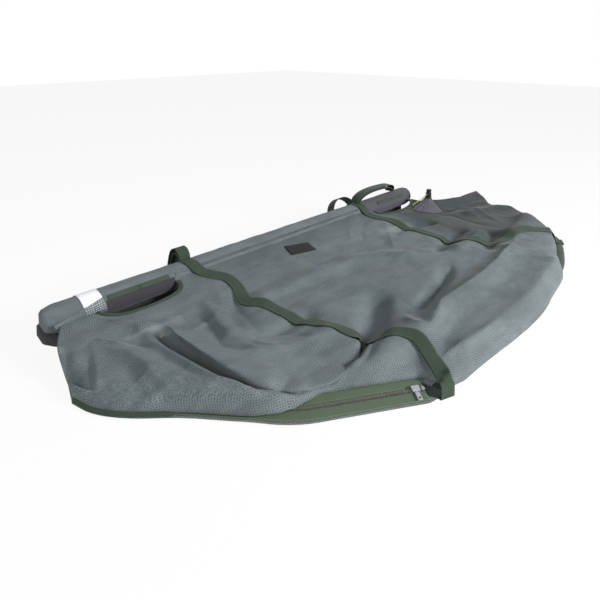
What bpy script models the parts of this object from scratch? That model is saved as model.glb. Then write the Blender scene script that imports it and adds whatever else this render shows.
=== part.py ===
"""A retainer sling lying on the floor: two foam float bars, a draped mesh bag, webbing straps,
carry handles, a coil zip and a gathered drawcord collar.

Frame: metres, +Z up. The origin is on the floor below the middle of the front bar. +X runs
along the bars to the collar end, and the bag spreads from the bars towards -Y."""

import math

import bmesh
import bpy
import numpy as np
from mathutils import Matrix, Vector
from mathutils.bvhtree import BVHTree

# Driving dimensions
GAP = 0.0003                 # clearance between pieces that touch
CLOTH = 0.0012               # thickness of mesh cloth with its hem
TAPE = 0.0010                # thickness of seam and zip tape
WEB = 0.0014                 # thickness of webbing
WEB_WIDTH = 0.025            # width of straps and handles

BAR_LENGTH = 1.02            # foam float, end to end of its sleeve
BAR_RADIUS = 0.025           # outside of the sleeve
SLEEVE_WALL = 0.0015         # fabric sleeve round the foam
END_LEFT = 0.028             # length of the flat sewn end
REAR_END_LIFT = 0.009        # how far the lower bar's sewn end is folded up
END_RIGHT = 0.026            # length of the rounded end
REAR_BAR_BACK = 0.028        # how far the lower bar lies behind the upper one

STRAP_LEFT_X = -0.250        # where the left strap leaves the bar
STRAP_RIGHT_X = 0.285        # where the right strap leaves the bar
REAR_LEFT_X = -0.292         # webbing and handle on the lower bar
UNDER_END_Y = -0.040         # where the straps end beneath the rear panel
STRAP_POINTS = 58            # points along a strap on the front panel
UNDER_LIFT = 0.0019          # how far the rear panel rides up over a strap

ZIP_TILT = math.radians(15)  # slope of the zip band across its course
COIL_RADIUS = 0.0022         # half height of the closed coil
COIL_WIDTH = 0.0064
ZIP_TAPE_WIDTH = 0.0190      # one tape, from the coil to its edge
SEAM_WIDTH = 0.022           # seam tape between the panels
LAP = 0.005                  # how far a hem laps over a tape
FRINGE = 0.003               # rear mesh that stands out past the seam

CUT_LENGTH = 0.155           # hand cut-out, along the bar
CUT_DEPTH = 0.030            # hand cut-out in the front panel, out from the bar
REAR_CUT_DEPTH = 0.052       # hand cut-out in the rear panel
BINDING = 0.008              # width of the binding round a cut-out
BINDING_THICK = 0.0022

BAND_WIDTH = 0.036           # reflective band
BAND_X = -0.4525
LABEL = (0.066, 0.033)       # blank patch
LABEL_AT = (0.014, -0.060)
LABEL_TURN = math.radians(-11)

MOUTH_PIVOT = (0.0, -0.500, 0.005)  # line at the hem that the upper bar lifts about

HANDLE_REACH = 0.150         # length of a handle that lies folded
ARCH_SPAN = 0.092            # handle that stands as an arch
ARCH_HEIGHT = 0.047
ARCH_X = 0.288
ARCH_ANGLE = 115             # place on the rear bar, in degrees from its front

SLIDER = (0.0130, 0.0104, 0.0046)   # zip slider: length, width, height
SLIDER_SLACK = 0.0006        # clearance of the slider round the coil
PULL = (0.0074, 0.0155, 0.0012)     # zip pull: width, length, thickness
LUG = (0.0030, 0.0020, 0.0016)      # lug that holds the pull
PULL_HOLE = 0.0017

LOCK_RADIUS = 0.0080         # cord lock barrel
LOCK_HEIGHT = 0.0150
LOCK_WALL = 0.0014
LOCK_SLACK = 0.0004          # running clearance of the plunger
PLUNGER_TRAVEL = 0.004
PLUNGER_HEAD = 0.0045
CORD_RADIUS = 0.0013
CORD_HOLE = 0.0018
SPRING_WIRE = 0.0003         # wire diameter
SPRING_RADIUS = 0.0042
SPRING_ROOM = 0.0014         # length of the spring with the plunger pressed
SPRING_TURNS = 4
COLLAR_FOOT = (0.494, -0.098)       # where the gathered collar spreads on the bag
COLLAR_TIP = (0.519, -0.081)        # where the drawcord gathers it
COLLAR_TIP_Z = 0.0775
COLLAR_HALF = (0.048, 0.021)        # half lengths of its spread foot
COLLAR_PLEATS = 9

# Places that follow from the sizes
REAR_Z = CLOTH + GAP + BAR_RADIUS
BAR_PITCH = 2 * BAR_RADIUS + GAP
FRONT_Z = REAR_Z + math.sqrt(BAR_PITCH**2 - REAR_BAR_BACK**2)
BAR_END = BAR_LENGTH / 2
PANEL_EDGE_ANGLE = math.radians(-8)
PANEL_EDGE_Y = -(BAR_RADIUS + 2 * GAP + CLOTH) * math.cos(PANEL_EDGE_ANGLE)
PANEL_EDGE_Z = FRONT_Z + BAR_RADIUS * math.sin(PANEL_EDGE_ANGLE)
TAPE_SEAT = CLOTH + GAP      # underside of a tape that lies on the rear panel
COIL_Z = (TAPE_SEAT + UNDER_LIFT + TAPE
          + (COIL_WIDTH / 2 + ZIP_TAPE_WIDTH) * math.sin(ZIP_TILT))
ZIP_INNER = COIL_WIDTH / 2 + ZIP_TAPE_WIDTH
HEM_ON_COIL = COIL_Z + TAPE + CLOTH + 3 * GAP
HEM_ON_ZIP = HEM_ON_COIL + (ZIP_INNER - LAP) * math.sin(ZIP_TILT)
HEM_ON_SEAM = TAPE_SEAT + UNDER_LIFT + TAPE + CLOTH + 3 * GAP
BAR_TOP = FRONT_Z + BAR_RADIUS
REAR_CUT_Y = REAR_BAR_BACK - BAR_RADIUS - 0.034

# Plan courses, seen from above. The zip starts beside the left strap's end, runs straight for
# the slider's travel and then rounds the left corner.
ZIP_COURSE = [
    (-0.183, -0.507), (-0.336, -0.4125), (-0.395, -0.345), (-0.450, -0.276),
    (-0.503, -0.222), (-0.530, -0.182), (-0.539, -0.143),
]
SEAM_COURSE = [
    (-0.160, -0.518), (-0.060, -0.518), (0.050, -0.523), (0.130, -0.524), (0.205, -0.520),
    (0.280, -0.508), (0.350, -0.498), (0.420, -0.485), (0.480, -0.471), (0.545, -0.448),
    (0.610, -0.420),
]
END_SEAM_COURSE = [
    (0.650, -0.394), (0.705, -0.345), (0.748, -0.285), (0.772, -0.225), (0.780, -0.175),
]
LEFT_EDGE = [
    (-0.503, PANEL_EDGE_Y, 0.0560), (-0.530, -0.060, 0.0420), (-0.548, -0.100, 0.0240),
]
COLLAR_EDGE = [
    (0.530, -0.050, 0.0600), (0.588, -0.078, 0.0500), (0.648, -0.095, 0.0500),
    (0.706, -0.113, 0.0500), (0.756, -0.140, 0.0380),
]
STRAP_LEFT_COURSE = [
    (STRAP_LEFT_X + 0.010, -0.0290), (-0.226, -0.038), (-0.200, -0.062), (-0.205, -0.104),
    (-0.224, -0.148), (-0.208, -0.184), (-0.204, -0.236), (-0.192, -0.300),
    (-0.179, -0.345), (-0.166, -0.388), (-0.139, -0.416), (-0.124, -0.446),
    (-0.130, -0.474), (-0.148, -0.498), (-0.160, -0.518),
]
STRAP_RIGHT_COURSE = [
    (STRAP_RIGHT_X + 0.004, -0.0290), (0.308, -0.048), (0.332, -0.084), (0.344, -0.122),
    (0.345, -0.152), (0.339, -0.192), (0.337, -0.232), (0.341, -0.268), (0.358, -0.302),
    (0.386, -0.332), (0.424, -0.350), (0.470, -0.356), (0.525, -0.366), (0.560, -0.384),
    (0.588, -0.404), (0.606, -0.420),
]

# Folds of the front panel: height, half width and the line that each one follows
FOLDS = [
    (0.016, 0.020, [(-0.480, -0.055), (-0.420, -0.095), (-0.390, -0.145), (-0.378, -0.196),
                    (-0.376, -0.250), (-0.372, -0.300), (-0.350, -0.345)]),
    (-0.026, 0.014, [(-0.402, -0.140), (-0.404, -0.190), (-0.400, -0.240), (-0.388, -0.300),
                     (-0.372, -0.345), (-0.328, -0.388), (-0.285, -0.405), (-0.225, -0.398),
                     (-0.165, -0.380)]),
    (0.012, 0.018, [(-0.505, -0.070), (-0.482, -0.100), (-0.466, -0.160), (-0.462, -0.215),
                    (-0.452, -0.265), (-0.430, -0.315), (-0.395, -0.360), (-0.350, -0.405),
                    (-0.300, -0.425), (-0.250, -0.428)]),
    (-0.014, 0.014, [(-0.492, -0.045), (-0.455, -0.082), (-0.430, -0.125)]),
    (-0.014, 0.012, [(-0.505, -0.090), (-0.522, -0.145), (-0.530, -0.185)]),
    (-0.012, 0.014, [(-0.484, -0.190), (-0.490, -0.235), (-0.488, -0.265)]),
    (0.014, 0.030, [(-0.250, -0.442), (-0.185, -0.432), (-0.130, -0.420), (-0.105, -0.440)]),
    (0.012, 0.024, [(-0.190, -0.155), (-0.120, -0.160), (-0.040, -0.160), (0.072, -0.172),
                    (0.140, -0.200), (0.170, -0.240)]),
    (-0.012, 0.020, [(-0.120, -0.060), (-0.020, -0.075), (0.080, -0.080), (0.180, -0.062)]),
    (-0.022, 0.030, [(-0.020, -0.285), (-0.090, -0.335), (-0.150, -0.380)]),
    (-0.016, 0.018, [(0.209, -0.320), (0.150, -0.346), (0.070, -0.374), (-0.020, -0.398)]),
    (0.018, 0.020, [(0.380, -0.392), (0.257, -0.408), (0.113, -0.420), (0.012, -0.422),
                    (-0.050, -0.436)]),
    (-0.010, 0.016, [(0.300, -0.448), (0.120, -0.456), (0.000, -0.462), (-0.080, -0.480)]),
    (0.010, 0.022, [(-0.070, -0.508), (0.020, -0.522), (0.110, -0.522), (0.240, -0.508),
                    (0.400, -0.486)]),
    (-0.014, 0.018, [(-0.240, -0.110), (-0.262, -0.155), (-0.290, -0.200)]),
    (0.010, 0.016, [(-0.285, -0.100), (-0.300, -0.160), (-0.320, -0.220)]),
    (-0.010, 0.018, [(-0.290, -0.250), (-0.230, -0.262), (-0.180, -0.262)]),
    (0.008, 0.018, [(-0.340, -0.290), (-0.270, -0.320), (-0.200, -0.330)]),
    (-0.012, 0.016, [(0.270, -0.112), (0.345, -0.124), (0.420, -0.150)]),
    (-0.012, 0.016, [(0.270, -0.262), (0.345, -0.252), (0.420, -0.240)]),
    (0.010, 0.018, [(0.300, -0.300), (0.360, -0.302), (0.430, -0.290)]),
    (-0.010, 0.014, [(0.360, -0.345), (0.395, -0.332), (0.450, -0.310)]),
    (0.014, 0.024, [(0.480, -0.350), (0.560, -0.340), (0.640, -0.320)]),
    (-0.014, 0.018, [(0.545, -0.118), (0.618, -0.135), (0.700, -0.165), (0.760, -0.210)]),
    (0.008, 0.016, [(0.560, -0.190), (0.650, -0.215), (0.740, -0.270)]),
]
MID_HEIGHT = 0.044           # height of the drape between its folds
ROLL_START = 0.72            # where the drape starts to roll down to its hem
PANEL_COLUMNS = 40
PANEL_ROWS = 13
HEM_RISE = 0.018             # least rise of the drape over its last row above the hem
HEM_FALL = 0.045             # length over which the hem comes down past the zip's end


# How far the hem reaches out from the coil and from the seam's middle, by its place along X
HEM_OVER_ZIP = ((-0.385, -0.364, -0.348, -0.332, -0.319),
                (0.0215, 0.0140, 0.0040, -0.0100, LAP - ZIP_INNER))
HEM_OVER_SEAM = ((0.390, 0.490), (0.0210, LAP - SEAM_WIDTH / 2))
HEM_LOW = CLOTH + UNDER_LIFT + 5 * GAP      # hem that stands past the rear panel


def clear_scene():
    for item in list(bpy.data.objects):
        bpy.data.objects.remove(item, do_unlink=True)


def material(name, colour, roughness, metallic=0.0):
    made = bpy.data.materials.new(name)
    made.use_nodes = True
    shader = made.node_tree.nodes["Principled BSDF"]
    shader.inputs["Base Color"].default_value = (*colour, 1)
    shader.inputs["Roughness"].default_value = roughness
    shader.inputs["Metallic"].default_value = metallic
    return made


def add(name, mesh, finish, smooth=None):
    """Link a named object with its own copy of a finish."""
    item = bpy.data.objects.new(name, mesh)
    bpy.context.scene.collection.objects.link(item)
    mesh.materials.append(material(name, *finish))
    if smooth is not None:
        mesh.shade_smooth()
        mesh.set_sharp_from_angle(angle=math.radians(smooth))
    return item


MESH_CLOTH = ((0.155, 0.180, 0.180), 0.85)
MESH_DARK = ((0.090, 0.105, 0.105), 0.85)
SLEEVE_CLOTH = ((0.165, 0.180, 0.185), 0.80)
FINE_CLOTH = ((0.140, 0.132, 0.155), 0.75)
FOAM = ((0.080, 0.080, 0.085), 0.90)
WEBBING = ((0.045, 0.060, 0.042), 0.70)
BINDING_CLOTH = ((0.065, 0.085, 0.058), 0.75)
ZIP_CLOTH = ((0.130, 0.190, 0.125), 0.75)
COIL_NYLON = ((0.155, 0.145, 0.115), 0.50)
GREY_METAL = ((0.420, 0.440, 0.480), 0.35, 0.6)
BLACK_PLASTIC = ((0.008, 0.008, 0.010), 0.35)
SPRING_STEEL = ((0.500, 0.500, 0.500), 0.30, 1.0)
CORD_YELLOW = ((0.380, 0.420, 0.080), 0.60)
REFLECTIVE = ((0.830, 0.840, 0.930), 0.35)
PATCH = ((0.006, 0.006, 0.007), 0.55)


def smooth_line(points, count):
    """Points at even steps along the smooth curve through the given ones."""
    known = np.array(points, float)
    ends = np.vstack([2 * known[0] - known[1], known, 2 * known[-1] - known[-2]])
    fine = []
    for k in range(1, len(ends) - 2):
        a, b, c, d = ends[k - 1:k + 3]
        for u in np.linspace(0, 1, 24, endpoint=False):
            fine.append(0.5 * (2 * b + (c - a) * u + (2 * a - 5 * b + 4 * c - d) * u**2
                               + (3 * b - a - 3 * c + d) * u**3))
    fine = np.array(fine + [known[-1]])
    return even_steps(fine, count)


def even_steps(line, count):
    """The same line with count points at even distances."""
    run = np.concatenate([[0], np.cumsum(np.linalg.norm(np.diff(line, axis=0), axis=1))])
    at = np.linspace(0, run[-1], count)
    return np.stack([np.interp(at, run, line[:, k]) for k in range(line.shape[1])], axis=1)


def outward(line):
    """Unit normals in plan of a course that runs from left to right with the bag behind it."""
    way = np.gradient(line[:, :2], axis=0)
    way /= np.linalg.norm(way, axis=1)[:, None]
    return np.stack([way[:, 1], -way[:, 0]], axis=1)


def zip_line(count):
    """The coil's course from the left corner to the strap, straight for the slider's travel."""
    start, straight = np.array(ZIP_COURSE[0]), np.array(ZIP_COURSE[1])
    bend = smooth_line(ZIP_COURSE, 200)
    near = np.linalg.norm(bend - start, axis=1) < np.linalg.norm(straight - start)
    line = np.vstack([start, bend[~near]])
    return even_steps(line, count)[::-1]


def distance_to_line(points, line):
    """Least distance in plan from each point to a line of straight pieces."""
    best = np.full(len(points), 1e9)
    for a, b in zip(line[:-1], line[1:]):
        way = b - a
        part = np.clip(((points - a) @ way) / (way @ way), 0, 1)
        best = np.minimum(best, np.linalg.norm(points - a - part[:, None] * way, axis=1))
    return best


def panel_sides():
    """The four edge curves of the front panel as functions of a share from 0 to 1."""
    bar_line = [(x, PANEL_EDGE_Y, PANEL_EDGE_Z) for x in np.linspace(-0.44, BAR_END - 0.01, 9)]
    top = smooth_line([LEFT_EDGE[0]] + bar_line + COLLAR_EDGE, 200)
    zip_hem = zip_line(60)
    reach = np.interp(zip_hem[:, 0], *HEM_OVER_ZIP)
    level = HEM_ON_COIL - reach * math.sin(ZIP_TILT)
    level += 2 * COIL_RADIUS * np.exp(-(reach / COIL_WIDTH)**2)
    zip_hem = np.column_stack([zip_hem + outward(zip_hem) * reach[:, None], level])
    seam = smooth_line(SEAM_COURSE, 80)
    from_zip = np.linalg.norm(seam - seam[0], axis=1)
    reach = np.interp(seam[:, 0], *HEM_OVER_SEAM)
    level = np.interp(reach, HEM_OVER_SEAM[1][::-1], (HEM_ON_SEAM, HEM_LOW))
    level += (HEM_ON_ZIP - level) * np.clip(1 - from_zip / HEM_FALL, 0, 1)
    seam = np.column_stack([seam + outward(seam) * reach[:, None], level])
    bottom = even_steps(np.vstack([zip_hem, seam]), 200)
    end = smooth_line(END_SEAM_COURSE, 60)
    end = end - outward(end) * (SEAM_WIDTH / 2 - LAP)
    end = np.column_stack([end, np.full(len(end), HEM_ON_SEAM)])
    right = smooth_line([tuple(top[-1])] + [tuple(p) for p in end[::-12]] + [tuple(bottom[-1])], 80)
    left = smooth_line([tuple(top[0])] + LEFT_EDGE[1:] + [tuple(bottom[0])], 80)
    return top, bottom, left, right


def along(line, share):
    at = np.clip(share, 0, 1) * (len(line) - 1)
    return np.stack([np.interp(at, range(len(line)), line[:, k]) for k in range(3)], axis=-1)


def drape(s, t):
    """Points of the front panel: s runs along the bar, t from the bar to the hem."""
    top, bottom, left, right = panel_sides()
    s_, t_ = s[:, None], t[:, None]
    plan = ((1 - t_) * along(top, s) + t_ * along(bottom, s)
            + (1 - s_) * along(left, t) + s_ * along(right, t)
            - (1 - s_) * (1 - t_) * top[0] - s_ * (1 - t_) * top[-1]
            - (1 - s_) * t_ * bottom[0] - s_ * t_ * bottom[-1])
    rim = np.stack([t, 1 - t, s, 1 - s])
    edge_height = plan[:, 2]
    fall = np.sqrt(np.clip(1 - (np.clip((t - ROLL_START) / (1 - ROLL_START), 0, 1))**2, 0, 1))
    rise = np.clip(np.minimum(t / 0.16, np.minimum(s, 1 - s) / 0.05), 0, 1)
    rise = rise * rise * (3 - 2 * rise)
    share = rise * fall
    height = edge_height * (1 - share) + MID_HEIGHT * share
    folds = np.zeros(len(s))
    for lift, width, line in FOLDS:
        away = distance_to_line(plan[:, :2], np.array(line))
        folds += lift * np.exp(-(away / width)**2)
    inside = np.clip(rim.min(axis=0) / 0.07, 0, 1)
    plan[:, 2] = np.maximum(height + folds * inside, np.minimum(edge_height, 0.010))
    above_hem = edge_height + HEM_RISE * np.clip((1 - t) * PANEL_ROWS, 0, 1)
    plan[:, 2] = np.where(t > 0.9, np.maximum(plan[:, 2], above_hem), plan[:, 2])
    return plan


def grid_object(name, columns, rows, place, finish, thickness):
    """A sheet made from a flat grid, moved to its place and given a thickness downwards."""
    bm = bmesh.new()
    bmesh.ops.create_grid(bm, x_segments=columns, y_segments=rows, size=0.5)
    verts = list(bm.verts)
    flat = np.array([v.co[:2] for v in verts]) + 0.5
    placed = place(flat[:, 0], 1 - flat[:, 1])
    for vert, co in zip(verts, placed):
        vert.co = co
    mesh = bpy.data.meshes.new(name)
    bm.to_mesh(mesh)
    bm.free()
    item = add(name, mesh, finish)
    wall = item.modifiers.new("thickness", "SOLIDIFY")
    wall.thickness = thickness
    wall.offset = -1
    return item


def cutter(name, outline, low, high):
    """A prism that a Boolean modifier subtracts. It is left out of the model."""
    bm = bmesh.new()
    face = bm.faces.new([bm.verts.new((x, y, low)) for x, y in outline])
    top = bmesh.ops.extrude_face_region(bm, geom=[face])
    moved = [v for v in top["geom"] if isinstance(v, bmesh.types.BMVert)]
    bmesh.ops.translate(bm, verts=moved, vec=(0, 0, high - low))
    bmesh.ops.recalc_face_normals(bm, faces=bm.faces)
    mesh = bpy.data.meshes.new(name)
    bm.to_mesh(mesh)
    bm.free()
    item = bpy.data.objects.new(name, mesh)
    bpy.context.scene.collection.objects.link(item)
    item.hide_render = True
    item.display_type = "WIRE"
    return item


def subtract(item, tool):
    cut = item.modifiers.new(tool.name, "BOOLEAN")
    cut.operation = "DIFFERENCE"
    cut.solver = "EXACT"
    cut.object = tool


def surface_of(item):
    bpy.context.view_layer.update()
    return BVHTree.FromObject(item, bpy.context.evaluated_depsgraph_get())


def height_on(tree, x, y, reach=0.006):
    """The highest point of a surface within reach of a place, or None off its edge."""
    found = []
    for dx, dy in ((0, 0), (reach, 0), (-reach, 0), (0, reach), (0, -reach)):
        hit = tree.ray_cast(Vector((x + dx, y + dy, 1)), Vector((0, 0, -1)))
        if hit[0] is not None:
            found.append(hit[0].z)
    return max(found) if found else None


def loft(name, rings, finish, closed_ring=True, smooth=40):
    """Join rings of points into one closed body with a face on each end."""
    bm = bmesh.new()
    rows = [[bm.verts.new(p) for p in ring] for ring in rings]
    count = len(rows[0])
    for a, b in zip(rows[:-1], rows[1:]):
        for k in range(count if closed_ring else count - 1):
            bm.faces.new((a[k], a[(k + 1) % count], b[(k + 1) % count], b[k]))
    bm.faces.new(rows[0][::-1])
    bm.faces.new(rows[-1])
    bmesh.ops.recalc_face_normals(bm, faces=bm.faces)
    mesh = bpy.data.meshes.new(name)
    bm.to_mesh(mesh)
    bm.free()
    return add(name, mesh, finish, smooth)


def tape(name, middle, across, width, thick, finish):
    """A flat tape along a line: across gives the direction of its width at each point."""
    middle, across = np.array(middle, float), np.array(across, float)
    across /= np.linalg.norm(across, axis=1)[:, None]
    way = np.gradient(middle, axis=0)
    up = np.cross(across, way)
    up /= np.linalg.norm(up, axis=1)[:, None]
    rings = []
    for p, side, lift in zip(middle, across, up):
        edge = side * width / 2
        rings.append([p - edge, p + edge, p + edge + lift * thick, p - edge + lift * thick])
    return loft(name, rings, finish, smooth=30)


def turned(name, radii, finish, axis_y, axis_z, segments=24):
    """A body turned about a line along X, from (x, radius) pairs."""
    angles = np.linspace(0, 2 * math.pi, segments, endpoint=False)
    rings = [[(x, axis_y + r * math.cos(a), axis_z + r * math.sin(a)) for a in angles]
             for x, r in radii]
    return loft(name, rings, finish)


def tube(name, x0, x1, outer, inner, finish, axis_y, axis_z, segments=24):
    """A thin-walled sleeve: a ring profile spun about a line along X."""
    bm = bmesh.new()
    corners = [(x0, inner), (x0, outer), (x1, outer), (x1, inner)]
    verts = [bm.verts.new((x, axis_y, axis_z + r)) for x, r in corners]
    edges = [bm.edges.new((verts[k], verts[(k + 1) % 4])) for k in range(4)]
    bmesh.ops.spin(bm, geom=verts + edges, cent=(0, axis_y, axis_z), axis=(1, 0, 0),
                   angle=2 * math.pi, steps=segments, use_merge=True)
    bmesh.ops.recalc_face_normals(bm, faces=bm.faces)
    mesh = bpy.data.meshes.new(name)
    bm.to_mesh(mesh)
    bm.free()
    return add(name, mesh, finish, 40)


def arc_strip(name, x, width, start, end, inner, thick, finish, axis_y, axis_z, steps=12):
    """A strip of cloth that hugs a bar. Angles are in degrees, from the front up over the top."""
    rings = []
    for a in np.radians(np.linspace(start, end, steps + 1)):
        def at(dx, r):
            return (x + dx, axis_y - r * math.cos(a), axis_z + r * math.sin(a))
        rings.append([at(-width / 2, inner), at(width / 2, inner),
                      at(width / 2, inner + thick), at(-width / 2, inner + thick)])
    return loft(name, rings, finish)


def build_bar(name, axis_y, axis_z, end_lift):
    """One float: foam core, fabric sleeve, a flat sewn end and a rounded end."""
    foam = BAR_RADIUS - SLEEVE_WALL - GAP
    round_off = 0.003
    turned(f"{name}_bar_foam",
           [(-BAR_END + GAP, foam - round_off), (-BAR_END + GAP + round_off, foam),
            (BAR_END - GAP - round_off, foam), (BAR_END - GAP, foam - round_off)],
           FOAM, axis_y, axis_z)
    tube(f"{name}_bar_sleeve", -BAR_END, BAR_END, BAR_RADIUS, BAR_RADIUS - SLEEVE_WALL,
         SLEEVE_CLOTH, axis_y, axis_z)
    flat = turned(f"{name}_bar_left_end",
                  [(-BAR_END - END_LEFT, 0.55 * BAR_RADIUS),
                   (-BAR_END - 0.7 * END_LEFT, 0.86 * BAR_RADIUS),
                   (-BAR_END - 0.3 * END_LEFT, 0.97 * BAR_RADIUS),
                   (-BAR_END - GAP, BAR_RADIUS)], SLEEVE_CLOTH, axis_y, axis_z)
    for vert in flat.data.vertices:
        fold = min(1, max(0, (-BAR_END - vert.co.x) / END_LEFT))
        vert.co.z += end_lift * fold
        vert.co.y = axis_y + (vert.co.y - axis_y) * (1 - 0.45 * fold)
    turned(f"{name}_bar_right_end",
           [(BAR_END + GAP, BAR_RADIUS), (BAR_END + 0.35 * END_RIGHT, 0.95 * BAR_RADIUS),
            (BAR_END + 0.7 * END_RIGHT, 0.74 * BAR_RADIUS),
            (BAR_END + 0.92 * END_RIGHT, 0.42 * BAR_RADIUS),
            (BAR_END + END_RIGHT, 0.12 * BAR_RADIUS)], SLEEVE_CLOTH, axis_y, axis_z)


def cut_outline(left, inner_y, depth, steps=16):
    """A hand cut-out in plan: straight beside the bar, round on the side away from it."""
    middle, half = left + CUT_LENGTH / 2, CUT_LENGTH / 2
    points = []
    for a in np.linspace(0, math.pi, steps + 1):
        reach = abs(math.sin(a)) ** 0.7
        points.append((middle - half * math.cos(a), inner_y - depth * reach))
    return points


FRONT_CUTS = {"left": -0.447, "right": 0.340}
REAR_CUTS = {"left": -0.452, "right": 0.336}


def build_front_panel():
    panel = grid_object("front_mesh_panel", PANEL_COLUMNS, PANEL_ROWS, drape, MESH_CLOTH, CLOTH)
    for side, left in FRONT_CUTS.items():
        outline = cut_outline(left, PANEL_EDGE_Y, CUT_DEPTH)
        outline = [(left, PANEL_EDGE_Y + 0.010)] + outline + [(left + CUT_LENGTH,
                                                              PANEL_EDGE_Y + 0.010)]
        subtract(panel, cutter(f"front_{side}_cutter", outline, -0.02, 0.20))
    return panel


def rear_outline():
    """The rear panel's edges: they stand out past the zip and the seam."""
    zip_edge = zip_line(60)
    zip_edge = zip_edge + outward(zip_edge) * (ZIP_INNER + FRINGE)
    seam = smooth_line(SEAM_COURSE, 60)
    seam = seam + outward(seam) * (SEAM_WIDTH / 2 + FRINGE)
    end = smooth_line(END_SEAM_COURSE, 40)
    end = end + outward(end) * (SEAM_WIDTH / 2 + FRINGE)
    hem_y = REAR_BAR_BACK + BAR_RADIUS - 0.001
    bottom = even_steps(np.vstack([zip_edge, seam]), 120)
    right = smooth_line([(0.806, -0.118)] + [tuple(p) for p in end[::-13]] + [tuple(bottom[-1])], 60)
    top = even_steps(np.array([(-0.500, hem_y), (0.470, hem_y), (0.560, 0.018), (0.650, -0.022),
                               (0.735, -0.066), tuple(right[0])]), 120)
    left = smooth_line([tuple(top[0]), (-0.510, 0.000), (-0.538, -0.070), tuple(bottom[0])], 60)
    return [np.column_stack([line, np.zeros(len(line))]) for line in (top, bottom, left, right)]


def under_course(front_end):
    """Where a strap runs back beneath the rear panel, from its end at the hem to the bar."""
    x = STRAP_LEFT_X if front_end[0] < 0 else STRAP_RIGHT_X
    middle = ((front_end[0] + x) / 2, (front_end[1] + UNDER_END_Y) / 2)
    return smooth_line([front_end, middle, (x, UNDER_END_Y)], 14)


def rear_plan(s, t):
    """Points of the rear panel, flat on the floor but for its straps and its corner."""
    top, bottom, left, right = rear_outline()
    t = t * t * 0.35 + t * 0.65
    s_, t_ = s[:, None], t[:, None]
    plan = ((1 - t_) * along(top, s) + t_ * along(bottom, s)
            + (1 - s_) * along(left, t) + s_ * along(right, t)
            - (1 - s_) * (1 - t_) * top[0] - s_ * (1 - t_) * top[-1]
            - (1 - s_) * t_ * bottom[0] - s_ * t_ * bottom[-1])
    near = distance_to_line(plan[:, :2], zip_line(30)) < 0.075
    for course in (STRAP_LEFT_COURSE, STRAP_RIGHT_COURSE):
        last = np.array(course[-1]) + (np.array(course[-1]) - np.array(course[-2])) * 1.6
        near |= distance_to_line(plan[:, :2], under_course(tuple(last))) < 0.082
    plan[near & (plan[:, 1] < -0.012), 2] = UNDER_LIFT
    plan[:, 2] += CLOTH
    return plan


def build_rear_panel():
    panel = grid_object("rear_mesh_panel", 40, 13, rear_plan, MESH_DARK, CLOTH)
    for side, left in REAR_CUTS.items():
        subtract(panel, cutter(f"rear_{side}_cutter",
                               cut_outline(left, REAR_CUT_Y, REAR_CUT_DEPTH), -0.02, 0.20))
    return panel


def heights_across(trees, place, side, step, width):
    """Highest cloth at five places across a tape, each looked at over a step and a half."""
    heights = []
    for share in (-0.5, -0.25, 0, 0.25, 0.5):
        found = []
        for k in (-1.5, -1, -0.5, 0, 0.5, 1, 1.5):
            x, y = place + side * width * share + step * k
            for tree in trees:
                hit = tree.ray_cast(Vector((x, y, 1)), Vector((0, 0, -1)))[0]
                if hit is not None:
                    found.append(hit.z)
        heights.append(max(found) if found else math.nan)
    return np.array(heights)


def lay(trees, line, sides, width, lift):
    """Middle line and tilted width directions that lay a tape on the cloth below a course."""
    steps = np.gradient(line, axis=0)
    across = np.linspace(-width / 2, width / 2, 5)
    profiles = [heights_across(trees, *row, width) for row in zip(line, sides, steps)]
    slopes = []
    for heights in profiles:
        known = np.isfinite(heights)
        enough = known.sum() > 2
        slopes.append(np.polyfit(across[known], heights[known], 1)[0] if enough else 0)
    slopes = np.convolve(np.pad(slopes, 1, mode="edge"), (0.25, 0.5, 0.25), mode="valid")
    slopes = np.clip(slopes, -0.8, 0.8)
    levels = [np.nanmax(heights - slope * across) if np.isfinite(heights).any() else CLOTH
              for heights, slope in zip(profiles, slopes)]
    middle = np.column_stack([line, np.array(levels) + lift])
    return middle, np.column_stack([sides, slopes])


def laid_tape(name, line, sides, trees, width, thick, finish, lift=2 * GAP):
    """A tape that lies on the cloth below it, along a line in plan."""
    middle, across = lay(trees, line, sides, width, lift)
    return tape(name, middle, across, width, thick, finish)


def set_origin(item, point):
    """Move an object's origin to a point without moving its shape."""
    item.data.transform(Matrix.Translation(-Vector(point)))
    item.location = point
    return item


def build_front_binding(side, left, tree):
    """Binding of a front cut-out: one strip round the cloth's edge, one along the bar."""
    outline = even_steps(np.array(cut_outline(left, PANEL_EDGE_Y, CUT_DEPTH)), 31)[1:-1]
    line = outline + outward(outline) * (BINDING / 2 + 0.0005)
    laid_tape(f"front_{side}_cutout_binding", line, outward(line), [tree], BINDING,
              BINDING_THICK, BINDING_CLOTH)
    strip = arc_strip(f"front_{side}_cutout_top_binding", left + CUT_LENGTH / 2 + 0.004,
                      CUT_LENGTH - 0.030, 26, 44, BAR_RADIUS + GAP, BINDING_THICK / 2,
                      BINDING_CLOTH, 0.0, FRONT_Z, steps=3)
    set_origin(strip, MOUTH_PIVOT)


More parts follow.
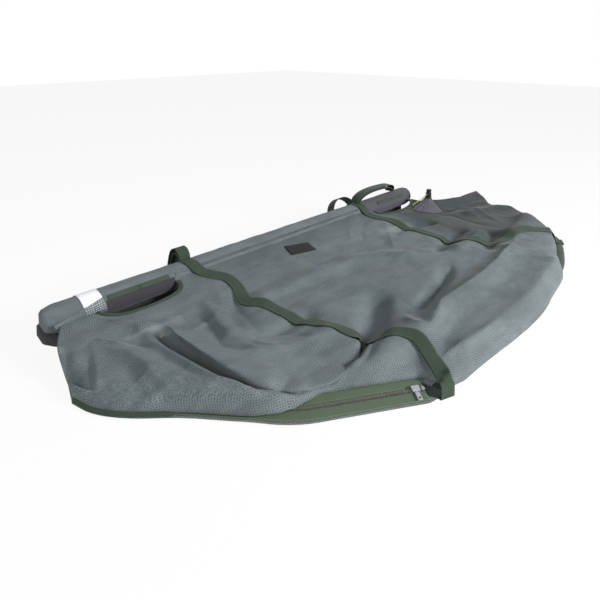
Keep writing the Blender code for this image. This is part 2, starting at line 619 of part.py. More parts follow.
def build_rear_binding(side, left, inner_y, tree):
    """Binding of a rear cut-out: a closed strip that lies on the cloth round the hole."""
    edge = np.array(cut_outline(left, inner_y, REAR_CUT_DEPTH))
    edge = even_steps(np.vstack([edge, edge[:1]]), 37)[:-1]
    way = np.roll(edge, -1, axis=0) - np.roll(edge, 1, axis=0)
    way /= np.linalg.norm(way, axis=1)[:, None]
    out = np.stack([way[:, 1], -way[:, 0]], axis=1)
    bm = bmesh.new()
    rows = []
    for place, side_way in zip(edge, out):
        ring = []
        for share, up in ((0.1, 0), (1.1, 0), (1.1, BINDING_THICK), (0.1, BINDING_THICK)):
            x, y = place + side_way * BINDING * share
            level = height_on(tree, x, y, 0.010)
            ring.append((x, y, (CLOTH if level is None else level) + 2 * GAP + up))
        rows.append([bm.verts.new(p) for p in ring])
    for a, b in zip(rows, rows[1:] + rows[:1]):
        for k in range(4):
            bm.faces.new((a[k], a[(k + 1) % 4], b[(k + 1) % 4], b[k]))
    bmesh.ops.recalc_face_normals(bm, faces=bm.faces)
    mesh = bpy.data.meshes.new(f"rear_{side}_cutout_binding")
    bm.to_mesh(mesh)
    bm.free()
    add(mesh.name, mesh, BINDING_CLOTH, 30)


def build_strap(name, course, trees):
    """Webbing sewn down the front panel, round the hem and back beneath the rear panel."""
    front = smooth_line(course, STRAP_POINTS)
    way = front[-1] - front[-4]
    way /= np.linalg.norm(way)
    normal = np.array([way[1], -way[0]])

    def on_bag(reach):
        places = [front[-1] + way * reach + normal * WEB_WIDTH / 2 * k for k in (-1, 0, 1)]
        return any(height_on(tree, *p, 0.0) is not None for p in places for tree in trees[:2])

    hem = 0.0
    while on_bag(hem):
        hem += 0.001
    front = np.vstack([front] + [front[-1:] + way * k for k in np.arange(0.005, hem, 0.005)])
    sides = outward(front)
    for k in range(6):
        sides[k] = sides[k] * (k / 6) + np.array([-1, 0]) * (1 - k / 6)
    sides[-3:] = normal
    middle, across = lay(trees, front, sides / np.linalg.norm(sides, axis=1)[:, None],
                         WEB_WIDTH, 5 * GAP)
    middle[0, 2] = middle[1, 2]
    across[-2:, 2] = 0
    edge = front[-1] + way * 0.0045
    down = CLOTH + UNDER_LIFT
    turn = [(*(edge - way * 0.0006), down + 0.0010), (*edge, down - 0.0006),
            (*(edge - way * 0.0008), WEB + 0.0002)]
    under = under_course(tuple(edge - way * 0.0040))
    flat = np.gradient(under, axis=0)
    under_sides = np.column_stack([-flat[:, 1], flat[:, 0], np.zeros(len(flat))])
    middle = np.vstack([middle, turn, np.column_stack([under, np.full(len(under), WEB)])])
    turn_sides = [(*normal, 0)] * len(turn)
    across = np.vstack([across, turn_sides, under_sides])
    return tape(name, middle, across, WEB_WIDTH, WEB, WEBBING)


def build_zip():
    """Two tapes, the closed coil with a stop at each end, the slider and its pull."""
    line = zip_line(30)
    out = outward(line)
    across = np.column_stack([out * math.cos(ZIP_TILT), np.full(len(out), -math.sin(ZIP_TILT))])
    middle = np.column_stack([line, np.full(len(line), COIL_Z)])
    reach = COIL_WIDTH / 2 + GAP + ZIP_TAPE_WIDTH / 2
    width = ZIP_TAPE_WIDTH - 2 * GAP
    tape("zip_upper_tape", middle - across * reach, across, width, TAPE, ZIP_CLOTH)
    tape("zip_lower_tape", middle + across * reach, across, width, TAPE, ZIP_CLOTH)
    way = np.gradient(middle, axis=0)
    way /= np.linalg.norm(way, axis=1)[:, None]
    rise = np.cross(across, way)
    rings = []
    for k in range(1, len(line) - 1):
        rings.append([middle[k] + across[k] * COIL_WIDTH / 2 * math.cos(a)
                      + rise[k] * COIL_RADIUS * (math.sin(a) + 0.6)
                      for a in np.linspace(0, 2 * math.pi, 8, endpoint=False)])
    loft("zip_coil", rings, COIL_NYLON)
    stop = (0.0050, COIL_WIDTH, 2 * COIL_RADIUS)
    for name, k, inward in (("zip_corner_stop", 0, 1), ("zip_strap_stop", -1, -1)):
        centre = middle[k] + rise[k] * COIL_RADIUS * 0.6 + way[k] * inward * stop[0] / 2
        box_piece(name, centre, way[k], across[k], rise[k], stop, GREY_METAL, 0.0004)
    build_slider(middle[-1], way[-4], across[-4], rise[-4])


def build_slider(end, run, side, rise):
    """The slider's shell over the coil, and the pull that folds over its outer side."""
    length, width, height = SLIDER
    at = end - run * (length / 2 + 0.0085)
    bottom = TAPE + GAP
    shell = box_piece("zip_slider", at + rise * (bottom + height / 2), run, side, rise, SLIDER,
                      GREY_METAL, 0.0008)
    level = at + rise * (bottom + 0.0022)
    lug = box_piece("zip_slider_lug_form", level + side * (width + LUG[1]) / 2, run, side, rise,
                    (LUG[0], LUG[1] + 0.0010, LUG[2]), GREY_METAL, 0.0003)
    join = shell.modifiers.new("lug", "BOOLEAN")
    join.operation = "UNION"
    join.solver = "EXACT"
    join.object = lug
    top = COIL_RADIUS * 1.6 + SLIDER_SLACK
    low = -0.0010
    room = (length * 2, COIL_WIDTH + 2 * SLIDER_SLACK, top - low)
    channel = box_piece("zip_slider_channel_form", at + rise * (top + low) / 2, run, side, rise,
                        room, GREY_METAL, 0.0001)
    subtract(shell, channel)
    hinge = level + side * (width / 2 + LUG[1] / 2)
    inner = 0.0006
    pull = box_piece("zip_pull", hinge + side * (PULL[1] / 2 - inner), run, side, rise, PULL,
                     GREY_METAL, 0.0004)
    notch = box_piece("zip_pull_notch_form", hinge, run, side, rise,
                      (LUG[0] + SLIDER_SLACK, 0.0036, 0.0040), GREY_METAL, 0.0001)
    hole_at = hinge + side * (PULL[1] - inner - 0.0042)
    hole = box_piece("zip_pull_hole_form", hole_at, run, side, rise,
                     (2 * PULL_HOLE, 2 * PULL_HOLE, 0.0040), GREY_METAL, 0.0001)
    subtract(pull, notch)
    subtract(pull, hole)
    for form in (lug, channel, notch, hole):
        form.hide_render = True
        form.display_type = "WIRE"
    set_origin(shell, at)
    set_origin(pull, hinge)


def box_piece(name, centre, run, side, rise, size, finish, bevel):
    """A small bevelled block set square to three given directions."""
    bm = bmesh.new()
    bmesh.ops.create_cube(bm, size=1)
    bmesh.ops.scale(bm, verts=bm.verts, vec=size)
    bmesh.ops.bevel(bm, geom=bm.edges[:], offset=bevel, segments=2, affect="EDGES",
                    profile=0.5, material=-1)
    for vert in bm.verts:
        a, b, c = vert.co
        vert.co = Vector(np.array(centre) + run * a + side * b + rise * c)
    bmesh.ops.recalc_face_normals(bm, faces=bm.faces)
    mesh = bpy.data.meshes.new(name)
    bm.to_mesh(mesh)
    bm.free()
    return add(name, mesh, finish, 40)


def build_end_gusset():
    """Fine cloth that closes the bag past the bars, from the front panel down to the rear."""
    edge = [(x, y + 0.007) for x, y, _ in COLLAR_EDGE[1:]]
    crest = smooth_line([(0.556, -0.046)] + edge + [(0.785, -0.150)], 60)
    shares = (0.0, 0.3, 0.55, 0.78, 0.90, 1.0)
    levels = (0.058, 0.052, 0.050, 0.062, 0.040, 0.014)

    def place(s, t):
        at = s * (len(crest) - 1)
        x, y = [np.interp(at, range(len(crest)), crest[:, k]) for k in (0, 1)]
        top = np.interp(s, shares, levels)
        foot = CLOTH + 2 * GAP
        depth = np.interp(s, (0, 0.7, 1), (0.046, 0.040, 0.014))
        fall = (1 - t) ** 1.5
        return np.column_stack([x + 0.25 * depth * t, y + depth * t, foot + (top - foot) * fall])

    return grid_object("end_gusset", 16, 4, place, FINE_CLOTH, CLOTH)


def build_label(tree):
    """A blank patch sewn on the front panel."""
    turn = np.array([math.cos(LABEL_TURN), math.sin(LABEL_TURN)])
    off = np.array([-turn[1], turn[0]])

    def place(s, t):
        spots = (np.array(LABEL_AT) + np.outer(s - 0.5, turn) * LABEL[0]
                 + np.outer(0.5 - t, off) * LABEL[1])
        levels = [height_on(tree, x, y, 0.003) + CLOTH + 2 * GAP for x, y in spots]
        return np.column_stack([spots, levels])

    return grid_object("label_patch", 6, 3, place, PATCH, CLOTH)


def loop_handle(name, path, across, hinge):
    """A webbing handle: out along a path, round its eye and back to its anchor."""
    path = even_steps(np.array(path, float), 44)
    item = tape(name, path, np.tile(np.array(across, float), (len(path), 1)), WEB_WIDTH, WEB,
                WEBBING)
    return set_origin(item, hinge)


def rounded(points, count=60):
    return smooth_line([tuple(p) for p in points], count)


def build_handles():
    """Four webbing handles, each turning where it is sewn to its bar."""
    seat = BAR_TOP + 2 * GAP + WEB + 0.0004
    pivot_y = 0.0010
    path = [(pivot_y + WEB, seat), (0.0034, seat + 0.0090), (0.0095, seat + 0.0170),
            (0.0190, seat + 0.0190), (0.0290, seat + 0.0135), (0.0370, seat + 0.0020),
            (0.0435, seat - 0.0120), (0.0480, seat - 0.0240), (0.0478, seat - 0.0300),
            (0.0438, seat - 0.0305), (0.0405, seat - 0.0230), (0.0360, seat - 0.0110),
            (0.0300, seat + 0.0010), (0.0240, seat + 0.0090), (0.0175, seat + 0.0120),
            (0.0120, seat + 0.0098), (0.0088, seat + 0.0050), (0.0075, seat + 0.0004)]
    path = [(STRAP_LEFT_X, y, z) for y, z in path]
    loop_handle("front_left_handle", rounded(path), (1, 0, 0), (STRAP_LEFT_X, pivot_y, seat))

    start = STRAP_RIGHT_X - 0.004
    far = start + HANDLE_REACH + 0.015
    path = [(start + WEB, seat), (start + 0.012, seat + 0.0130), (start + 0.040, seat + 0.0220),
            (start + 0.085, seat + 0.0250), (far - 0.022, seat + 0.0225),
            (far - 0.005, seat + 0.0175), (far, seat + 0.0095), (far - 0.0025, seat + 0.0032),
            (far - 0.0075, seat + 0.0036), (far - 0.0085, seat + 0.0100),
            (far - 0.024, seat + 0.0168), (start + 0.085, seat + 0.0200),
            (start + 0.043, seat + 0.0172), (start + 0.018, seat + 0.0095),
            (start + 0.0080, seat + 0.0004)]
    path = [(x, 0.0, z) for x, z in path]
    loop_handle("front_right_handle", rounded(path), (0, -1, 0), (start, 0.0, seat))

    angle = math.radians(ARCH_ANGLE)
    out = np.array([0, -math.cos(angle), math.sin(angle)])
    back = np.array([0, math.sin(angle), math.cos(angle)])
    rest = BAR_RADIUS + 2 * GAP + WEB + 0.0004
    axis = np.array([0, REAR_BAR_BACK, REAR_Z])
    half = ARCH_SPAN / 2
    profile = [(-half - 0.016, -0.0016), (-half - 0.004, -0.0012), (-half + 0.004, 0.006)]
    for a in np.linspace(160, 20, 9):
        share = math.radians(a)
        profile.append((half * math.cos(share), ARCH_HEIGHT * math.sin(share) ** 0.8))
    profile += [(half - 0.004, 0.006), (half + 0.004, 0.0010), (half + 0.016, 0.0004)]
    path = [axis + out * (rest + n) + np.array([ARCH_X + x, 0, 0]) for x, n in profile]
    hinge = axis + out * rest + back * WEB_WIDTH / 2 + np.array([ARCH_X, 0, 0])
    loop_handle("rear_right_handle", rounded(path), -back, hinge)

    top_y = REAR_BAR_BACK + BAR_RADIUS + 2 * GAP + WEB
    path = [(top_y, 0.0240), (top_y + 0.0032, 0.0130), (top_y + 0.016, 0.0050),
            (0.092, 0.0008), (0.120, 0.0005), (0.145, 0.0005), (0.1585, 0.0014),
            (0.1640, 0.0062), (0.1590, 0.0112), (0.145, 0.0118), (0.120, 0.0105),
            (0.095, 0.0108), (top_y + 0.018, 0.0150), (top_y + 0.007, 0.0215),
            (top_y + 0.0012, 0.0256)]
    path = [(REAR_LEFT_X, y, z) for y, z in path]
    hinge = (REAR_LEFT_X, top_y, 0.0262)
    loop_handle("rear_left_handle", rounded(path), (1, 0, 0), hinge)


def build_wraps():
    """Webbing sewn round the bars at the straps, and the reflective band."""
    seat = BAR_RADIUS + GAP
    places = (("left", STRAP_LEFT_X, REAR_LEFT_X), ("right", STRAP_RIGHT_X, STRAP_RIGHT_X))
    for side, x, rear_x in places:
        strip = arc_strip(f"front_{side}_wrap", x, WEB_WIDTH, 1, 170, seat, WEB, WEBBING,
                          0.0, FRONT_Z)
        set_origin(strip, MOUTH_PIVOT)
        arc_strip(f"rear_{side}_wrap", rear_x, WEB_WIDTH, 95, 232, seat, WEB, WEBBING,
                  REAR_BAR_BACK, REAR_Z)
    band = arc_strip("reflective_band", BAND_X, BAND_WIDTH, -6, 188, seat, 0.0006, REFLECTIVE,
                     0.0, FRONT_Z, steps=14)
    set_origin(band, MOUTH_PIVOT)


def build_collar(tree):
    """Cloth gathered by the drawcord: a leaning, pleated cone on the front panel."""
    count = 4 * COLLAR_PLEATS
    long_way = np.array([0.885, -0.466])
    short_way = np.array([0.466, 0.885])
    rings = []
    for share in (0.0, 0.25, 0.5, 0.75, 1.0):
        spread = (1 - share) ** 1.4
        centre = (np.array(COLLAR_FOOT) * spread + np.array(COLLAR_TIP) * (1 - spread))
        half = [0.0095 + (h - 0.0095) * spread for h in COLLAR_HALF]
        ring = []
        for k in range(count):
            a = 2 * math.pi * k / count
            pleat = 1 + (0.10 if k % 4 == 0 else -0.10 if k % 4 == 2 else 0)
            x, y = (centre + long_way * half[0] * pleat * math.cos(a)
                    + short_way * half[1] * pleat * math.sin(a))
            ring.append((x, y))
        rings.append(ring)
    foot = [height_on(tree, x, y, 0.009) + 3 * GAP for x, y in rings[0]]
    level = max(foot)
    solid = [[(x, y, z) for (x, y), z in zip(rings[0], foot)]]
    for share, ring in zip((0.25, 0.5, 0.75, 1.0), rings[1:]):
        solid.append([(x, y, (z + 0.0010) * (1 - share) + COLLAR_TIP_Z * share)
                      for (x, y), z in zip(ring, foot)])
    bm = bmesh.new()
    rows = [[bm.verts.new(p) for p in ring] for ring in solid]
    for a, b in zip(rows[:-1], rows[1:]):
        for k in range(count):
            bm.faces.new((a[k], a[(k + 1) % count], b[(k + 1) % count], b[k]))
    bm.faces.new(rows[-1])
    inner = []
    for k, (x, y) in enumerate(rings[0]):
        x, y = (np.array([x, y]) + np.array(COLLAR_FOOT)) / 2
        inner.append(bm.verts.new((x, y, height_on(tree, x, y, 0.012) + 3 * GAP)))
    for k in range(count):
        bm.faces.new((rows[0][k], inner[k], inner[(k + 1) % count], rows[0][(k + 1) % count]))
    centre_z = height_on(tree, *COLLAR_FOOT, 0.014) + 3 * GAP
    centre = bm.verts.new((*COLLAR_FOOT, max(centre_z, level - 0.006)))
    for k in range(count):
        bm.faces.new((centre, inner[(k + 1) % count], inner[k]))
    bmesh.ops.recalc_face_normals(bm, faces=bm.faces)
    mesh = bpy.data.meshes.new("drawcord_collar")
    bm.to_mesh(mesh)
    bm.free()
    add(mesh.name, mesh, FINE_CLOTH, 40)


def spun(name, profile, finish, steps=24):
    """A body turned about the cord lock's upright axis, from (radius, height) pairs."""
    bm = bmesh.new()
    x, y = COLLAR_TIP
    verts = [bm.verts.new((x + r, y, z)) for r, z in profile]
    edges = [bm.edges.new(pair) for pair in zip(verts[:-1], verts[1:])]
    bmesh.ops.spin(bm, geom=verts + edges, cent=(x, y, 0), axis=(0, 0, 1), angle=2 * math.pi,
                   steps=steps, use_merge=True)
    bmesh.ops.remove_doubles(bm, verts=bm.verts, dist=0.00001)
    bmesh.ops.recalc_face_normals(bm, faces=bm.faces)
    mesh = bpy.data.meshes.new(name)
    bm.to_mesh(mesh)
    bm.free()
    return add(name, mesh, finish, 40)


def build_cord_lock():
    """A spring cord lock on the collar: barrel, plunger, spring, and the cord through it."""
    x, y = COLLAR_TIP
    base = COLLAR_TIP_Z + GAP
    floor = base + LOCK_WALL
    bore = LOCK_RADIUS - LOCK_WALL
    foot = floor + GAP + SPRING_ROOM + PLUNGER_TRAVEL + GAP
    cord_z = foot + 0.0010 + CORD_HOLE
    top = base + LOCK_HEIGHT
    edge = 0.0008
    barrel = spun("cord_lock_barrel", [
        (0, base), (LOCK_RADIUS - edge, base), (LOCK_RADIUS, base + edge),
        (LOCK_RADIUS, top - edge), (LOCK_RADIUS - edge, top), (bore, top), (bore, floor),
        (0, floor)], BLACK_PLASTIC)
    stem = bore - LOCK_SLACK
    head = top + PLUNGER_TRAVEL + GAP
    plunger = spun("cord_lock_plunger", [
        (0, foot), (stem, foot), (stem, head), (LOCK_RADIUS - edge, head),
        (LOCK_RADIUS - edge, head + PLUNGER_HEAD - edge), (LOCK_RADIUS - 3 * edge,
                                                           head + PLUNGER_HEAD),
        (0, head + PLUNGER_HEAD)], BLACK_PLASTIC)
    run, side, rise = np.eye(3)
    hole = box_piece("cord_lock_hole_form", (x, y, cord_z), run, side, rise,
                     (4 * LOCK_RADIUS, 2 * CORD_HOLE, 2 * CORD_HOLE), BLACK_PLASTIC, 0.0010)
    slot = box_piece("plunger_slot_form", (x, y, cord_z + PLUNGER_TRAVEL / 2), run, side, rise,
                     (4 * LOCK_RADIUS, 2 * CORD_HOLE, 2 * CORD_HOLE + PLUNGER_TRAVEL),
                     BLACK_PLASTIC, 0.0010)
    for form in (hole, slot):
        form.hide_render = True
        form.display_type = "WIRE"
    subtract(barrel, hole)
    subtract(plunger, slot)
    set_origin(plunger, (x, y, foot))
    length = foot - floor - 2 * GAP
    wire = SPRING_WIRE / 2
    rings = []
    turns = SPRING_TURNS * 14
    for k in range(turns + 1):
        a = 2 * math.pi * k / 14
        radial = np.array([math.cos(a), math.sin(a), 0])
        middle = np.array([x, y, floor + GAP + wire + (length - 2 * wire) * k / turns])
        middle = middle + radial * SPRING_RADIUS
        rings.append([middle + wire * (radial * math.cos(b) + np.array([0, 0, math.sin(b)]))
                      for b in np.linspace(0, 2 * math.pi, 6, endpoint=False)])
    loft("cord_lock_spring", rings, SPRING_STEEL)
    build_drawcord(cord_z)


def build_drawcord(cord_z):
    """The cord: from the gathered neck up through the lock and down to the hem casing."""
    x, y = COLLAR_TIP
    points = [(x + 0.0146, y - 0.0010, COLLAR_TIP_Z - 0.0025),
              (x + 0.0149, y - 0.0006, COLLAR_TIP_Z + 0.0018),
              (x + 0.0143, y, COLLAR_TIP_Z + 0.0062), (x + 0.0126, y, cord_z - 0.0015),
              (x + 0.0095, y, cord_z - 0.0001),
              (x + 0.0040, y, cord_z), (x - 0.0040, y, cord_z), (x - 0.0100, y, cord_z - 0.0001),
              (x - 0.0135, y + 0.0001, cord_z - 0.0008),
              (x - 0.0170, y + 0.0005, cord_z - 0.0020),
              (x - 0.0235, y + 0.0020, cord_z - 0.0060),
              (x - 0.0300, y + 0.0045, cord_z - 0.0100),
              (x - 0.0370, y + 0.0070, cord_z - 0.0135),
              (x - 0.0440, y + 0.0095, cord_z - 0.0165),
              (x - 0.0510, y + 0.0115, cord_z - 0.0195),
              (x - 0.0580, y + 0.0135, cord_z - 0.0230)]
    curve = bpy.data.curves.new("drawcord", "CURVE")
    curve.dimensions = "3D"
    curve.bevel_depth = CORD_RADIUS
    curve.bevel_resolution = 2
    curve.use_fill_caps = True
    spline = curve.splines.new("POLY")
    spline.points.add(len(points) - 1)
    for point, place in zip(spline.points, points):
        point.co = (*place, 1)
    item = bpy.data.objects.new("drawcord", curve)
    bpy.context.scene.collection.objects.link(item)
    curve.materials.append(material("drawcord", *CORD_YELLOW))


def main():
    clear_scene()
    build_bar("rear", REAR_BAR_BACK, REAR_Z, REAR_END_LIFT)
    build_bar("front", 0.0, FRONT_Z, 0.0)
    for part in ("foam", "sleeve", "left_end", "right_end"):
        set_origin(bpy.data.objects[f"front_bar_{part}"], MOUTH_PIVOT)
    front = build_front_panel()
    rear = build_rear_panel()
    front_tree, rear_tree = surface_of(front), surface_of(rear)
    build_zip()
    seam = smooth_line(SEAM_COURSE, 34)
    bottom_tape = laid_tape("bottom_seam_tape", seam, outward(seam), [rear_tree], SEAM_WIDTH,
                            TAPE, BINDING_CLOTH)
    end = smooth_line(END_SEAM_COURSE, 16)
    laid_tape("right_end_seam_tape", end, outward(end), [rear_tree], SEAM_WIDTH, TAPE,
              BINDING_CLOTH)
    below = [front_tree, rear_tree, surface_of(bottom_tape)]
    for name in ("zip_upper_tape", "zip_lower_tape", "zip_coil", "zip_strap_stop"):
        below.append(surface_of(bpy.data.objects[name]))
    build_strap("left_strap", STRAP_LEFT_COURSE, below)
    build_strap("right_strap", STRAP_RIGHT_COURSE, below[:3])
    for side in ("left", "right"):
        build_front_binding(side, FRONT_CUTS[side], front_tree)
        build_rear_binding(side, REAR_CUTS[side], REAR_CUT_Y, rear_tree)
    build_wraps()
    build_handles()
    build_end_gusset()
    build_label(front_tree)
    build_collar(front_tree)
    build_cord_lock()


main()
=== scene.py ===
# %% [markdown]
# # Retainer sling
# A floating sling that holds a fish at the bank. It lies open on a pale floor: two foam bars at the
# back, a mesh bag draped to the front, webbing straps, a coil zip and a gathered collar. The packed
# model is loaded first and never changed. Everything soft gets a finer piece that takes its place.

# %% The frame
import math

import bmesh
import bpy
import numpy as np
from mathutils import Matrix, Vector, noise
from mathutils.bvhtree import BVHTree


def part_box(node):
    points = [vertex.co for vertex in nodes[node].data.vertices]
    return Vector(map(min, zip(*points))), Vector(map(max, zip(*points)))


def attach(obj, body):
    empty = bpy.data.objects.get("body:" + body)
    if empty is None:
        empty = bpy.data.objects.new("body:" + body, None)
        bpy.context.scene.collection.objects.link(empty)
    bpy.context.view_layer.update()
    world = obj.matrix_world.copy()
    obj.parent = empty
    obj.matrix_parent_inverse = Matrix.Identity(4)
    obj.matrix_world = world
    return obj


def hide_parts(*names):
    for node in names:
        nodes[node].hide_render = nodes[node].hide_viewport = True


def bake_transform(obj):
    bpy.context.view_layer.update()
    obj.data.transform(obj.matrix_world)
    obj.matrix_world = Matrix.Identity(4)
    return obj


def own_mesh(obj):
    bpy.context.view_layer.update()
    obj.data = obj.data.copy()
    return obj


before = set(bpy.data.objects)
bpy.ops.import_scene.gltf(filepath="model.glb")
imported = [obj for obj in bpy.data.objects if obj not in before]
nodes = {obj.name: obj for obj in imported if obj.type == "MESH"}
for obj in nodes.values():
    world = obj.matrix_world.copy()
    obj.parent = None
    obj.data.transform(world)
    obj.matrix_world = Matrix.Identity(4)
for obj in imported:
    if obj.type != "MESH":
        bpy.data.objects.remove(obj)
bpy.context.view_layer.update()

# %% [markdown]
# The camera stands where the photographer stood: low in front of the left corner. Its place was
# solved from the two ends of the bar, so a lens of the same angle gives the same outline.

# %% The camera
FRAME_PIXELS, FOCAL_PIXELS, SENSOR = 600, 508, 36.0


def stand(name, data, place=(0, 0, 0), way=None):
    """Put an object in the scene, and turn it to look along a way."""
    item = bpy.data.objects.new(name, data)
    item.location = place
    if way:
        item.rotation_euler = Vector(way).to_track_quat("-Z", "Y").to_euler()
    bpy.context.scene.collection.objects.link(item)
    return item


camera_data = bpy.data.cameras.new("camera")
camera_data.sensor_width = SENSOR
camera_data.lens = FOCAL_PIXELS * SENSOR / FRAME_PIXELS
bpy.context.scene.camera = stand("camera", camera_data, (-0.76129805, -0.80190451, 0.48030956),
                                 (0.6420826, 0.61546033, -0.45709793))
bpy.context.scene.view_settings.view_transform = "Standard"
print("camera:", round(camera_data.lens, 2), "mm lens")

# %% [markdown]
# Node maths reads badly as a list of links. A small class wraps a socket, so that an ordinary
# expression such as 1 - mask adds its Math node, and one method adds every other kind of node.

# %% Sockets that take + - and *


class Wire:
    """A socket of a finish that Python's signs work on."""

    def __init__(self, finish, socket):
        self.finish, self.socket = finish, socket

    def maths(self, operation, *values):
        return self.finish.node("Math", {"operation": operation}, dict(enumerate(values)))

    def __add__(self, other):
        return self.maths("ADD", self, other)

    def __sub__(self, other):
        return self.maths("SUBTRACT", self, other)

    def __rsub__(self, other):
        return self.maths("SUBTRACT", other, self)

    def __mul__(self, other):
        return self.maths("MULTIPLY", self, other)

    __radd__ = __add__
    __rmul__ = __mul__

    def wave(self, pitch):
        """-1 to 1 and back over each pitch."""
        return self.maths("SINE", self * (2 * math.pi / pitch))

    def size(self):
        return self.maths("ABSOLUTE", self)

    def over(self, edge, soft):
        """0 below the edge and 1 above it, with a soft step."""
        return self.finish.node("MapRange", {"interpolation_type": "SMOOTHSTEP"},
                                {0: self, 1: edge - soft, 2: edge + soft})


print("Wire: + - *, wave, size, over")

# %% Nodes of a tree


class Maker:
    """Adds nodes to the tree of a material or of the world."""

    def __init__(self, tree):
        self.tree = tree

    def node(self, kind, settings=None, inputs=None, output=0):
        made = self.tree.nodes.new("ShaderNode" + kind)
        for key, value in (settings or {}).items():
            setattr(made, key, value)
        for key, value in (inputs or {}).items():
            if isinstance(value, Wire):
                self.tree.links.new(value.socket, made.inputs[key])
            else:
                made.inputs[key].default_value = value
        return Wire(self, made.outputs[output])

    def show_white(self, output, lit, share):
        """What a camera, a gloss or a glass looks at turns white by a share. All else is lit."""
        seen = sum(self.node("LightPath", output=f"Is {ray} Ray")
                   for ray in ("Camera", "Glossy", "Transmission"))
        white = self.node("Emission", {}, {0: (1, 1, 1, 1)})
        both = self.node("MixShader", {}, {0: seen * share, 1: Wire(self, lit), 2: white})
        self.tree.links.new(both.socket, self.tree.nodes[output].inputs[0])


print("Maker: node, show_white")

# %% A finish


class Finish(Maker):
    """A material with one Principled shader. Its fixed values sit on the shader's own sockets."""

    def __init__(self, name, roughness, **fixed):
        self.material = bpy.data.materials.new(name)
        self.material.use_nodes = True
        super().__init__(self.material.node_tree)
        self.shader = self.tree.nodes["Principled BSDF"]
        self.shader.inputs["Roughness"].default_value = roughness
        for socket, value in fixed.items():
            self.shader.inputs[socket.replace("_", " ")].default_value = value

    def feed(self, **wires):
        for socket, wire in wires.items():
            self.tree.links.new(wire.socket, self.shader.inputs[socket.replace("_", " ")])

    def place(self, kind="UV", scale=(1, 1, 1), turn=0.0):
        """Object coordinates or the piece's own UV map, in metres."""
        where = self.node("TexCoord", output=kind)
        return self.node("Mapping", {}, {0: where, 2: (0, 0, turn), 3: scale})

    def split(self, where):
        parts = self.node("SeparateXYZ", {}, {0: where}).socket.node.outputs
        return [Wire(self, socket) for socket in parts]

    def noise(self, where, scale, detail=3, rough=0.6):
        return self.node("TexNoise", {}, {"Vector": where, "Scale": scale, "Detail": detail,
                                          "Roughness": rough})

    def mix(self, share, low, high):
        """From one colour to another by a share."""
        low, high = (c if isinstance(c, Wire) else (*c, 1) for c in (low, high))
        return self.node("Mix", {"data_type": "RGBA"}, {0: share, 6: low, 7: high}, output=2)

    def bump(self, height, strength, distance):
        self.feed(Normal=self.node("Bump", {}, {"Strength": strength, "Distance": distance,
                                                "Height": height}))


print("Finish: feed, place, split, noise, mix, bump")

# %% [markdown]
# Light comes from a pale room: an even world, a soft key lamp from the front right, which makes the
# folds read, and two weaker ones. The floor shows white to the camera but still takes a soft shadow.
# A lit room alone would show grey behind the bag, so white is mixed in only for what is looked at.

# %% World, floor and lamps
ROOM_LIGHT, FLOOR_GLOW = 0.22, 0.90

world = bpy.data.worlds.new("studio")
world.use_nodes = True
bpy.context.scene.world = world
background = world.node_tree.nodes["Background"]
background.inputs[0].default_value = (0.97, 0.99, 1.0, 1)
background.inputs[1].default_value = ROOM_LIGHT
Maker(world.node_tree).show_white("World Output", background.outputs[0], 1)


def shaped(name, bm, finish):
    """Turn a bmesh into an object with a finish."""
    mesh = bpy.data.meshes.new(name)
    bm.to_mesh(mesh)
    bm.free()
    mesh.materials.append(finish.material)
    return stand(name, mesh)


floor_finish = Finish("floor", 0.9, Base_Color=(0.86, 0.86, 0.86, 1))
floor_finish.show_white("Material Output", floor_finish.shader.outputs[0], FLOOR_GLOW)
bm = bmesh.new()
bmesh.ops.create_grid(bm, x_segments=1, y_segments=1, size=6)
shaped("floor", bm, floor_finish)

BAG_MIDDLE = Vector((0, -0.25, 0))
for name, place, size, power in (("key_right", (0.7, -2.5, 1.15), 0.8, 96),
                                 ("fill_left", (-2.0, -0.9, 1.3), 1.2, 18),
                                 ("soft_above", (-0.6, 1.2, 2.4), 1.6, 8)):
    lamp = bpy.data.lights.new(name, "AREA")
    lamp.size, lamp.energy = size, power
    stand(name, lamp, place, BAG_MIDDLE - Vector(place))
print("stage: floor, world and three lamps")

# %% [markdown]
# The bag is a knitted mesh: fine cloth with a hole about every 4 mm. Real holes in the shape would
# take millions of faces, so two sine waves that cross on the cloth cut them in the alpha instead, drawn
# a little out of line by noise. Sheen gives the pale bloom that knitted polyester has where it turns
# away, slow noise varies its colour, and the shader's gloss is low, as it is on any cloth. Paler
# streaks along the wrinkles are painted sheen, and the front net is darkened with painted shade beside
# the bar and past the right strap.

# %% Mesh cloth
CLOTH_GLOSS = 0.15
HOLE_WAVE = 0.0080


